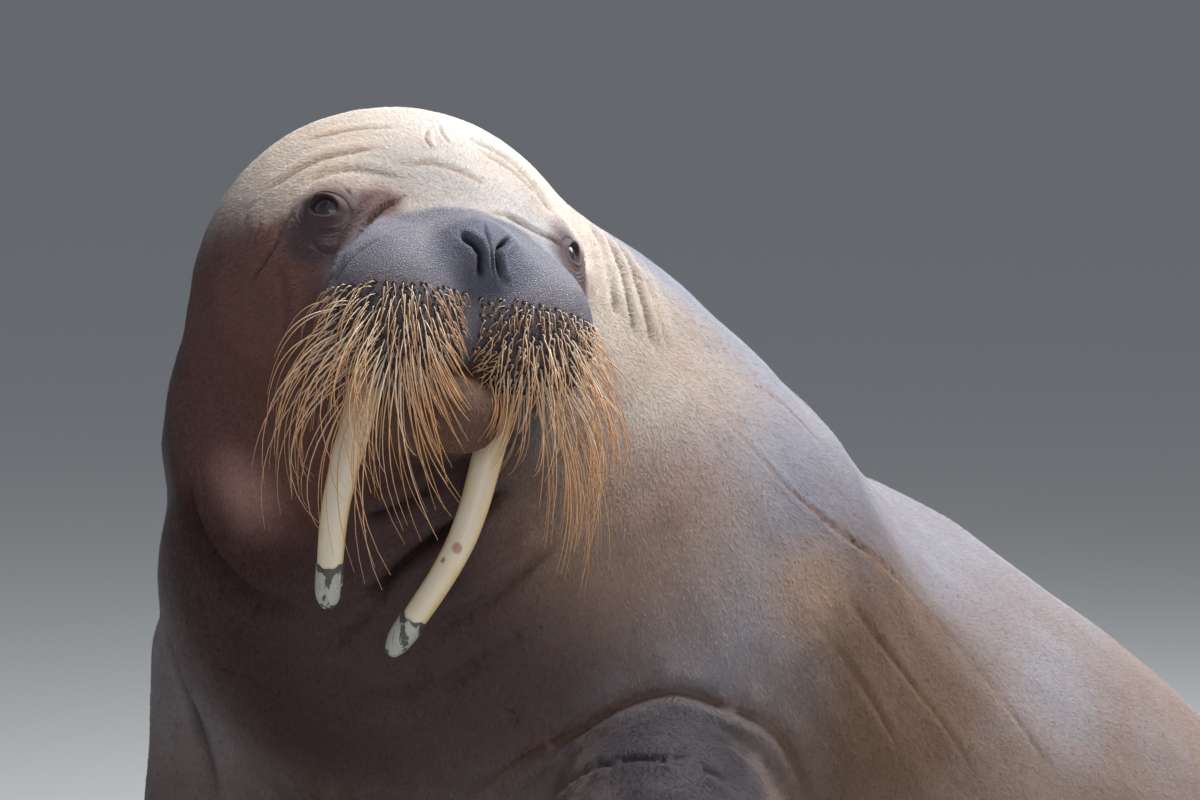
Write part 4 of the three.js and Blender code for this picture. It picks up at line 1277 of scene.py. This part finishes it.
def coat_roots(skin, count, rng):
    """Random places on the skin: point, normal, bake place, and shares of painted crease shade and of
    stain.
    """
    mesh = skin.data
    mesh.calc_loop_triangles()
    triangles, loops = (
        read(mesh.loop_triangles, name, 3, np.int32) for name in ("vertices", "loops"))
    points, normals = corners(skin), vertex_normals(skin)
    uv = read(mesh.uv_layers["OFBake"].uv, "vector", 2)
    worn = [read(mesh.attributes[name].data, "value") for name in ("crease_shade", "stain")]
    a, b, c = (points[triangles[:, k]] for k in range(3))
    area = np.linalg.norm(np.cross(b - a, c - a), axis=1)
    middle = (a + b + c) / 3
    local = to_head(middle)
    muzzle = np.linalg.norm((local - MUZZLE_PATCH[0]) / MUZZLE_PATCH[1], axis=1)
    density = ease(muzzle, 0.92, 1.15) * ease(middle[:, 2], 0.07, 0.16)
    for side in SIDES.values():
        density *= ease(np.linalg.norm(local - eye_centre(side)[0], axis=1), 0.026, 0.042)
    density *= 1 + 1.6 * ease(np.linalg.norm(local - HEAD_CORE, axis=1), 0.36, 0.26)
    weight = area * density
    chosen = np.searchsorted(np.cumsum(weight) / weight.sum(), rng.random(count))
    chosen.sort()
    s, t = rng.random(count), rng.random(count)
    s, t = np.where(s + t > 1, 1 - s, s), np.where(s + t > 1, 1 - t, t)
    parts = np.stack([1 - s - t, s, t], 1)[:, :, None]
    tri, loop = triangles[chosen], loops[chosen]
    at = (points[tri] * parts).sum(1)
    facing = unit((normals[tri] * parts).sum(1))
    place = (uv[loop] * parts).sum(1)
    folded, stained = ((w[tri] * parts[:, :, 0]).sum(1) for w in worn)
    return at, facing, place, folded, stained


def tuft_arrays(at, facing, lie, length, width, rise, rng):
    """Blades of five points and three triangles that leave the skin and lie over it."""
    count = len(at)
    along = unit(lie - (lie * facing).sum(1, keepdims=True) * facing)
    across = np.cross(facing, along)
    swing = rng.normal(0, 0.24, count)[:, None]
    along = unit(along + across * swing)
    across = np.cross(facing, along)
    half = across * width[:, None] / 2
    curl = across * (rng.normal(0, 0.12, count) * length)[:, None]
    root = at - facing * 0.0006
    middle = at + along * (length * 0.5)[:, None] + facing * (rise * 0.75)[:, None] + curl * 0.25
    tip = at + along * length[:, None] + facing * rise[:, None] + curl
    points = np.stack([root - half, root + half, middle + half * 0.8, middle - half * 0.8, tip], 1)
    start = np.arange(count)[:, None, None] * 5
    faces = np.array([[0, 1, 2], [0, 2, 3], [3, 2, 4]])[None] + start
    return points.reshape(-1, 3), faces.reshape(-1, 3)


class WALRUS_OT_coat(bpy.types.Operator):
    """Root short tufts in the hide, lying back along the body"""
    bl_idname = "walrus.coat"
    bl_label = "Coat"
    # Tufts in a piece, the patch of the hide's bake that each one shows and a blade's corners on
    # it, and the least height above the floor
    in_piece = 62000
    patch = 0.003
    blade = np.array([[0, 0], [1, 0], [1, 0.5], [0, 0.5], [0.5, 1]]) - 0.5
    floor_gap = 0.001

    def execute(self, context):
        settings = context.scene.walrus_coat
        skin = bpy.data.objects["hide"]
        rng = np.random.default_rng(11)
        count = settings.tufts
        at, facing, place, folded, stained = coat_roots(skin, count, rng)
        order = np.argsort(at[:, 1] - at[:, 2] * 0.6)
        at, facing, place, folded, stained = (v[order] for v in (at, facing, place, folded, stained))
        local = to_head(at)
        off_face = ease(np.linalg.norm(local - (0.03, 0, -0.06), axis=1), 0.14, 0.42)
        length = settings.length * rng.uniform(0.7, 1.3, count)
        width = settings.width * (0.92 + 0.08 * off_face) * rng.uniform(0.7, 1.3, count)
        rise = settings.rise * (0.80 + 0.20 * off_face) * rng.uniform(0.4, 1.3, count)
        lie = lie_of_coat(at)
        shade = rng.random(count)
        material = coat_finish(marking_centres(skin))
        for number, start in enumerate(range(0, count, self.in_piece)):
            some = slice(start, start + self.in_piece)
            points, faces = tuft_arrays(at[some], facing[some], lie[some], length[some],
                                        width[some], rise[some], rng)
            points[:, 2] = np.maximum(points[:, 2], self.floor_gap)
            piece = from_arrays(f"coat_{number + 1}", points, faces)
            for name, values in (("shade", shade), ("crease_shade", folded), ("stain", stained)):
                add_attribute(piece, name, np.repeat(values[some], len(self.blade)))
            spots = place[some][:, None] + self.blade[None] * self.patch
            spots = np.clip(spots.reshape(-1, 2), 0, 1)[faces.ravel()]
            layer = piece.data.uv_layers.new(name="OFBake", do_init=False)
            layer.uv.foreach_set("vector", spots.astype(np.float32).ravel())
            shade_smooth(piece)
            dress(piece, material, "hide")
        return {"FINISHED"}


# ---- Whiskers ----

def whisker_roots(settings, name, rng):
    """Where each whisker of a pad starts: how far out and down it is, its root and its way out."""
    side = SIDES[name]
    centre, half = (np.array(v) for v in FACE_MASSES[f"pad_{name}"])
    across, down = [], []
    for row in range(settings.rows):
        for k in range(settings.in_row - row % 2):
            across.append((k + 0.1 + 0.8 * rng.random() + 0.5 * (row % 2)) / settings.in_row)
            down.append(((row + 0.1 + 0.8 * rng.random()) / settings.rows) ** 1.15)
    across, down = np.array(across), np.array(down)
    turn = np.radians(WHISKER_TURN + WHISKER_SWEEP * across)
    lift = np.radians(17 - 9 * across - (80 - 4 * across) * down)
    way = np.stack([np.cos(lift) * np.cos(turn), np.cos(lift) * np.sin(turn) * side, np.sin(lift)], 1)
    root = centre + way * half
    for _ in range(12):
        root -= unit(root - centre) * (outside_face(root) + 0.0045)[:, None]
    below = (to_world(root) - HEAD_AT) @ camera_axes()[1] < -WHISKERS_BELOW
    apart = np.sort(np.linalg.norm(root[:, None] - root[None], axis=2), axis=1)[:, 4]
    below &= apart < WHISKER_LONE
    return across[below], down[below], root[below], unit(way / half)[below]


def whisker_lines(settings, name, rng):
    """The curves of one pad's whiskers: out of the pad, down under their weight, tips curled in."""
    side = SIDES[name]
    across, down, root, out = whisker_roots(settings, name, rng)
    count = len(across)
    outer = ease(across, 0.16, 0.74)
    outside = settings.left if side > 0 else settings.right
    longest = settings.inner * (1 - outer) + outside * outer
    reach = (0.05 + 0.95 * down ** (1.15 - 0.45 * across)) * (1 - 0.14 * ease(down, 0.8, 1))
    length = settings.shortest + (longest - settings.shortest) * reach
    length *= rng.uniform(0.74, 1.16, count) * (0.30 + 0.70 * ease(across, 0.04, 0.26))
    short = (rng.random(count) < WHISKERS_SHORT) | (down < 0.12)
    length *= np.where(short & (down > 0.12), rng.uniform(0.16, 0.42, count), 1)
    astray = (rng.random(count) < 0.10) * ease(across, 0.55, 0.80) * ease(down, 0.85, 0.5)
    fan = 0.62 if side > 0 else 1.30
    fall = to_head(HEAD_AT + np.array([[0, 0, -1.0]]))[0]
    sideways = np.array([0, side, 0.0])
    spread = fan * np.maximum(across - 0.36, -0.12) * 1.2 * (0.70 + 0.55 * down)
    start = unit(out * 0.62 + fall * 0.62 + sideways * spread[:, None]
                 + sideways * (astray * 1.1)[:, None] - fall * (astray * 0.35)[:, None]
                 + rng.normal(0, 0.11, (count, 3)) * (1 + 1.6 * short)[:, None])
    s = np.linspace(0, 1, WHISKER_STEPS)[None, :, None]
    long = length[:, None, None]
    curl = -0.34 * (1 - 0.75 * across) * ease(down, 0.15, 0.6) + rng.normal(0, 0.05, count)
    lines = (root[:, None] + start[:, None] * long * (s - 0.40 * s * s)
             + fall * long * 0.52 * s * s
             + sideways * (curl[:, None, None] * long) * s ** 3
             + rng.normal(0, 0.045, (count, 1, 3)) * long * s ** 2)
    lines = gathered(lines, across, down, rng)
    return within_solids(kept_clear(lines)), down


def gathered(lines, across, down, rng):
    """Tips of neighbouring whiskers drawn together in loose locks."""
    long_ones = np.nonzero(down > 0.25)[0]
    leaders = rng.choice(long_ones, max(1, len(long_ones) // 6), replace=False)
    spots = np.stack([across, down], 1)
    nearest = np.linalg.norm(spots[:, None] - spots[leaders][None], axis=2).argmin(1)
    pull = (np.linspace(0, 1, lines.shape[1]) ** 2 * 0.38)[None, :, None]
    pull = pull * ease(down, 0.2, 0.5)[:, None, None]
    return lines + pull * (lines[leaders][nearest] - lines)


def kept_clear(lines):
    """Whiskers pushed out where they would sink into the face or the neck."""
    flat = lines.reshape(-1, 3)
    for _ in range(3):
        sunk = np.clip(0.0022 - outside_face(flat), 0, 0.01)
        flat = flat + unit(flat - HEAD_CORE) * sunk[:, None]
    moved = flat.reshape(lines.shape)
    moved[:, 0] = lines[:, 0]
    return moved


def within_solids(lines):
    """Whiskers shortened where they would reach past the solid ones."""
    low, high = (np.array(corner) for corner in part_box("muzzle"))
    world = to_world(lines)
    start = world[:, 0]
    reach = world - start[:, None]
    back, ahead = np.minimum(reach.min(1), -1e-6), np.maximum(reach.max(1), 1e-6)
    room = np.minimum((low + WHISKER_MARGIN - start) / back,
                      (high - WHISKER_MARGIN - start) / ahead).min(1)
    share = np.clip(room, 0, 1)[:, None, None]
    return lines[:, :1] + (lines - lines[:, :1]) * share


def tube_arrays(lines, radii, sides):
    """Tapered tubes round many lines of equally many points, open at both ends."""
    count, steps = lines.shape[:2]
    along = unit(np.gradient(lines, axis=1))
    across = unit(np.cross(along, [0.31, 0.62, 0.72]))
    over = np.cross(along, across)
    angle = 2 * math.pi * np.arange(sides) / sides
    ring = (np.cos(angle)[None, None, :, None] * across[:, :, None]
            + np.sin(angle)[None, None, :, None] * over[:, :, None])
    points = lines[:, :, None] + ring * radii[:, :, None, None]
    points = points.reshape(count, -1, 3)
    quads = []
    for i in range(steps - 1):
        for j in range(sides):
            a, b = i * sides + j, i * sides + (j + 1) % sides
            quads.append([a, b, b + sides, a + sides])
    quads = np.array(quads)[None] + (np.arange(count) * steps * sides)[:, None, None]
    return points.reshape(-1, 3), quads.reshape(-1, 4)


class WALRUS_OT_whiskers(bpy.types.Operator):
    """Grow the whiskers out of both pads, with a dark collar of painted pit shade round each root"""
    bl_idname = "walrus.whiskers"
    bl_label = "Whiskers"

    def execute(self, context):
        settings = context.scene.walrus_whiskers
        for name in SIDES:
            rng = np.random.default_rng(21 + SIDES[name])
            lines, down = whisker_lines(settings, name, rng)
            count, steps = lines.shape[:2]
            share = np.linspace(0, 1, steps)
            thick = settings.radius * rng.uniform(0.8, 1.15, count)
            thick = thick * (0.62 + 0.38 * ease(down, 0, 0.5))
            radii = thick[:, None] * (1 - 0.80 * share ** 1.4)[None]
            points, faces = tube_arrays(lines, radii, WHISKER_SIDES)
            piece = from_arrays(f"whiskers_{name}", to_world(points), faces)
            add_attribute(piece, "along", np.tile(np.repeat(share, WHISKER_SIDES), count))
            add_attribute(piece, "shade", np.repeat(rng.random(count), steps * WHISKER_SIDES))
            shade_smooth(piece)
            dress(piece, whisker_finish(), "muzzle_hide")
            self.pit_shades(name, lines, rng)
        return {"FINISHED"}

    def pit_shades(self, name, lines, rng):
        """Low dark collars round the roots, painted shade of the pits there."""
        root = lines[:, 0]
        out = unit(lines[:, 1] - root)
        for _ in range(6):
            root = root - unit(root - HEAD_CORE) * (outside_face(root) + 0.0016)[:, None]
        wide = rng.uniform(0.0016, 0.0024, len(root))
        stations = np.array([-0.0015, 0.0004, 0.0008])
        rings = np.array([1.25, 1.0, 0.40])
        lines = root[:, None] + out[:, None] * stations[None, :, None]
        points, faces = tube_arrays(lines, wide[:, None] * rings[None], FOLLICLE_SIDES)
        piece = from_arrays(f"follicles_{name}", to_world(points), faces)
        shade_smooth(piece)
        dress(piece, pit_shade_finish(), "muzzle_hide")


# ---- Tusks, eyes and nails ----

def tusk_rings(name, shares, grow, wavy=0.0):
    """Rings round a tusk's curve at shares of its length, and how far round each point lies."""
    line = smooth_line(to_world(TUSK_CURVES[name]), 0.002)
    whole = np.linalg.norm(np.diff(line, axis=0), axis=1).sum()
    angle = 2 * math.pi * np.arange(TUSK_AROUND) / TUSK_AROUND
    wave = np.sin(angle + 0.6) + 0.45 * np.sin(3 * angle) + 0.25 * np.sin(7 * angle + 1)
    wave = wavy / whole * wave
    edge = np.exp(-np.square((shares - shares[0]) / 0.03))
    spots = np.clip(shares[:, None] + wave * edge[:, None], 0, 1)
    centre = evenly(line, spots.ravel()).reshape(*spots.shape, 3)
    ahead = evenly(line, np.clip(spots.ravel() + 0.002, 0, 1.002)).reshape(centre.shape)
    along = unit(ahead - evenly(line, spots.ravel() - 0.002).reshape(centre.shape))
    front = unit(HEAD_AXES[0] - (along @ HEAD_AXES[0])[..., None] * along)
    sideways = np.cross(along, front)
    blunt = np.sqrt(np.maximum(1 - np.square(np.maximum(0, (spots - 0.90) / 0.1012)), 0.0))
    size = (1 + (TUSK_TAPER - 1) * spots) * blunt
    deep, broad = ((TUSK_HALF[k] * size + grow)[..., None] for k in (0, 1))
    points = centre + front * deep * np.cos(angle)[None, :, None] \
        + sideways * broad * np.sin(angle)[None, :, None]
    return points, whole, np.cos(angle - 0.5)


def ringed_solid(name, points):
    """A closed solid from rings, with a point at each end."""
    steps, around = points.shape[:2]
    ring = np.arange(around)
    onward = (ring + 1) % around
    starts = np.arange(steps - 1)[:, None] * around
    faces = []
    for three in ((ring, onward, onward + around), (ring, onward + around, ring + around)):
        faces.append(np.stack([starts + k for k in three], 2).reshape(-1, 3))
    first, last = steps * around, steps * around + 1
    top = (steps - 1) * around
    faces.append(np.stack([onward, ring, np.full(around, first)], 1))
    faces.append(np.stack([top + ring, top + onward, np.full(around, last)], 1))
    points = np.vstack([points.reshape(-1, 3), points[0].mean(0), points[-1].mean(0)])
    piece = from_arrays(name, points, np.vstack(faces))
    make_active(piece)
    in_edit(bpy.ops.mesh.normals_make_consistent, inside=False)
    return piece


class WALRUS_OT_tusks(bpy.types.Operator):
    """Sweep the ivory tusks and crown them with worn metal caps"""
    bl_idname = "walrus.tusks"
    bl_label = "Tusks"

    def execute(self, context):
        metal = cap_finish()
        for name in SIDES:
            whole = self.tusk(name, context)
            self.cap(name, whole, metal)
        return {"FINISHED"}

    def tusk(self, name, context):
        """One tusk, slightly ridged along its length; gives back how long its curve is."""
        shares = np.linspace(0, 1, 90) ** 0.92
        points, whole, front = tusk_rings(name, shares, 0.0)
        points = self.uneven(points, (1, 1, 0.25), 260, 31, 0.00022)
        tusk = ringed_solid(f"ivory_{name}", points)
        add_attribute(tusk, "along", np.append(np.repeat(shares, TUSK_AROUND), [0, 1]))
        add_attribute(tusk, "front", np.append(np.tile(front, len(shares)), [0, 0]))
        shade_smooth(tusk)
        tree = BVHTree.FromObject(tusk, context.evaluated_depsgraph_get())
        hits = [(seen_at(tree, pixel), size, tone) for pixel, size, tone in TUSK_MARKS]
        marks = [(hit[0], size, tone) for hit, size, tone in hits if hit]
        dress(tusk, ivory_finish(name, marks), "ivory", f"tusk_{name}")
        return whole

    def cap(self, name, whole, metal):
        """A dented cap over the tip, its edge turned in below the ivory."""
        start = 1 - CAP_LENGTH / whole
        shares = np.concatenate([[start, start], np.linspace(start, 1, 44) ** 0.97])
        points = tusk_rings(name, shares, CAP_PROUD, CAP_WAVE)[0]
        points[0] = tusk_rings(name, shares[:1], -CAP_TUCK, CAP_WAVE)[0][0]
        points[2:] = self.uneven(points, (1, 1, 1), 330, 37, 0.0003)[2:]
        cap = ringed_solid(f"cap_{name}", points)
        share = np.repeat((shares - start) / (1 - start), TUSK_AROUND)
        add_attribute(cap, "along", np.append(share, [0, 1]))
        bpy.ops.object.shade_smooth_by_angle(angle=math.radians(50))
        dress(cap, metal, "cap_metal", f"tusk_cap_{name}")

    def uneven(self, points, stretch, scale, seed, reach):
        """Rings pushed in and out by a gentle unevenness."""
        rise = rolling(points.reshape(-1, 3) * stretch, scale, seed).reshape(len(points), -1)
        return points + unit(points - points.mean(1, keepdims=True)) * (rise * reach)[..., None]


class WALRUS_OT_eyes(bpy.types.Operator):
    """Set a wet, slightly bulging ball in each socket"""
    bl_idname = "walrus.eyes"
    bl_label = "Eyes"

    def execute(self, context):
        for name, side in SIDES.items():
            at, outward = eye_centre(side)
            ball = to_world(at - outward * EYE_SINK[name])
            deselect()
            bpy.ops.mesh.primitive_uv_sphere_add(
                segments=48, ring_count=32, radius=EYE_BALL, location=ball)
            piece = bpy.context.object
            piece.name = f"eyeball_{name}"
            bpy.ops.object.transform_apply()
            rays = corners(piece) - ball
            facing = unit(rays) @ (outward @ HEAD_AXES)
            bulge = 1 + 0.045 * np.exp(-np.square((1 - facing) / 0.10))
            set_corners(piece, ball + rays * (bulge - 0.02)[:, None])
            shade_smooth(piece)
            dress(piece, eye_finish(name), "eye", f"eye_{name}")
        return {"FINISHED"}


class WALRUS_OT_nails(bpy.types.Operator):
    """Set a small horn nail on each digit of the flippers"""
    bl_idname = "walrus.nails"
    bl_label = "Nails"

    def execute(self, context):
        skin = bpy.data.objects["hide"]
        tree = BVHTree.FromObject(skin, context.evaluated_depsgraph_get())
        for hand, (wrist, heading, length, tip_width, shares) in HANDS.items():
            side = 1 if hand.endswith("left") else -1
            angle = math.radians(heading)
            along = Vector((side * math.cos(angle), math.sin(angle), 0))
            across = Vector((-along.y, along.x, 0)) * side
            nails = []
            for digit, share in enumerate(shares):
                x = (digit + 0.5) / len(shares) * 2 - 1
                spot = Vector((*wrist, 0)) + along * (length * share - NAIL_BACK)
                spot = spot - across * x * tip_width
                hit, _, _, _ = tree.ray_cast(spot + Vector((0, 0, 0.3)), Vector((0, 0, -1)))
                if hit is None:
                    raise RuntimeError(f"no flipper under nail {digit} of {hand}")
                nails.append(self.nail(hit, along))
            piece = join(nails, f"nails_{hand}")
            dress(piece, nail_finish(), "flipper_hide")
        return {"FINISHED"}

    def nail(self, spot, along):
        """A flattened bead that bends down towards its tip."""
        deselect()
        turn = along.to_track_quat("X", "Z").to_euler()
        bpy.ops.mesh.primitive_uv_sphere_add(
            segments=16, ring_count=10, radius=1, location=spot + Vector((0, 0, 0.0005)),
            rotation=turn, scale=NAIL_HALF)
        bpy.ops.object.transform_apply()
        piece = bpy.context.object
        points = corners(piece) - np.array(spot)
        ahead = points @ np.array(along)
        points[:, 2] -= np.square(np.maximum(ahead + 0.003, 0)) * 9
        set_corners(piece, points + np.array(spot))
        bpy.ops.object.shade_smooth()
        return piece


# ---- Stage ----

class WALRUS_OT_stage(bpy.types.Operator):
    """Lay the floor, hang the soft lights and set the camera at the picture's angle"""
    bl_idname = "walrus.stage"
    bl_label = "Stage"

    def execute(self, context):
        scene = context.scene
        deselect()
        bpy.ops.mesh.primitive_plane_add(size=FLOOR_SIZE, location=(0, 0, 0))
        floor = context.object
        floor.name = "floor"
        finish = Finish("floor_paper", Roughness=0.9)
        finish.give("Base Color", (*TONES["floor"], 1))
        floor.data.materials.append(finish.material)
        world = bpy.data.worlds.new("studio")
        scene.world = world
        world.use_nodes = True
        background = world.node_tree.nodes["Background"]
        background.inputs["Color"].default_value = (*TONES["daylight"], 1)
        background.inputs["Strength"].default_value = DAYLIGHT
        right, _, back = camera_axes()
        target = HEAD_AT + LIGHTS_AIM
        for name, (to_right, nearer, above, size, power, colour) in LIGHTS.items():
            place = target + right * to_right + back * nearer + np.array([0, 0, above])
            self.light(name, place, target, size, power, colour)
        scene.view_settings.view_transform = "Standard"
        self.camera(scene)
        return {"FINISHED"}

    def light(self, name, place, target, size, power, colour):
        bpy.ops.object.light_add(type="AREA", location=place)
        lamp = bpy.context.object
        lamp.name = name
        lamp.data.size = size
        lamp.data.energy = power
        lamp.data.color = colour
        lamp.rotation_euler = Vector(target - place).to_track_quat("-Z", "Y").to_euler()

    def camera(self, scene):
        right, up, back = camera_axes()
        bpy.ops.object.camera_add(location=camera_place())
        camera = bpy.context.object
        camera.rotation_euler = Matrix(np.array([right, up, back]).T.tolist()).to_euler()
        camera.data.sensor_width = SENSOR * 1000
        camera.data.lens = SENSOR * 1000 * VIEW_PIXELS / PICTURE[0]
        camera.data.clip_end = 100
        scene.camera = camera


STEPS = [
    WALRUS_OT_stage, WALRUS_OT_hide, WALRUS_OT_coat, WALRUS_OT_whiskers, WALRUS_OT_tusks,
    WALRUS_OT_eyes, WALRUS_OT_nails,
]


class WALRUS_PT_sidebar(bpy.types.Panel):
    bl_label = "Walrus"
    bl_idname = "WALRUS_PT_sidebar"
    bl_space_type = "VIEW_3D"
    bl_region_type = "UI"
    bl_category = "Walrus"

    def draw(self, context):
        for step in STEPS:
            self.layout.operator(step.bl_idname)


def register():
    for group in (*SETTINGS.values(), *STEPS, WALRUS_PT_sidebar):
        bpy.utils.register_class(group)
    for name, group in SETTINGS.items():
        setattr(bpy.types.Scene, name, bpy.props.PointerProperty(type=group))


def unregister():
    for name in SETTINGS:
        delattr(bpy.types.Scene, name)
    for group in reversed((*SETTINGS.values(), *STEPS, WALRUS_PT_sidebar)):
        bpy.utils.unregister_class(group)


def main():
    register()
    for step in STEPS:
        family, call = step.bl_idname.split(".")
        getattr(getattr(bpy.ops, family), call)()


if __name__ == "__main__":
    main()
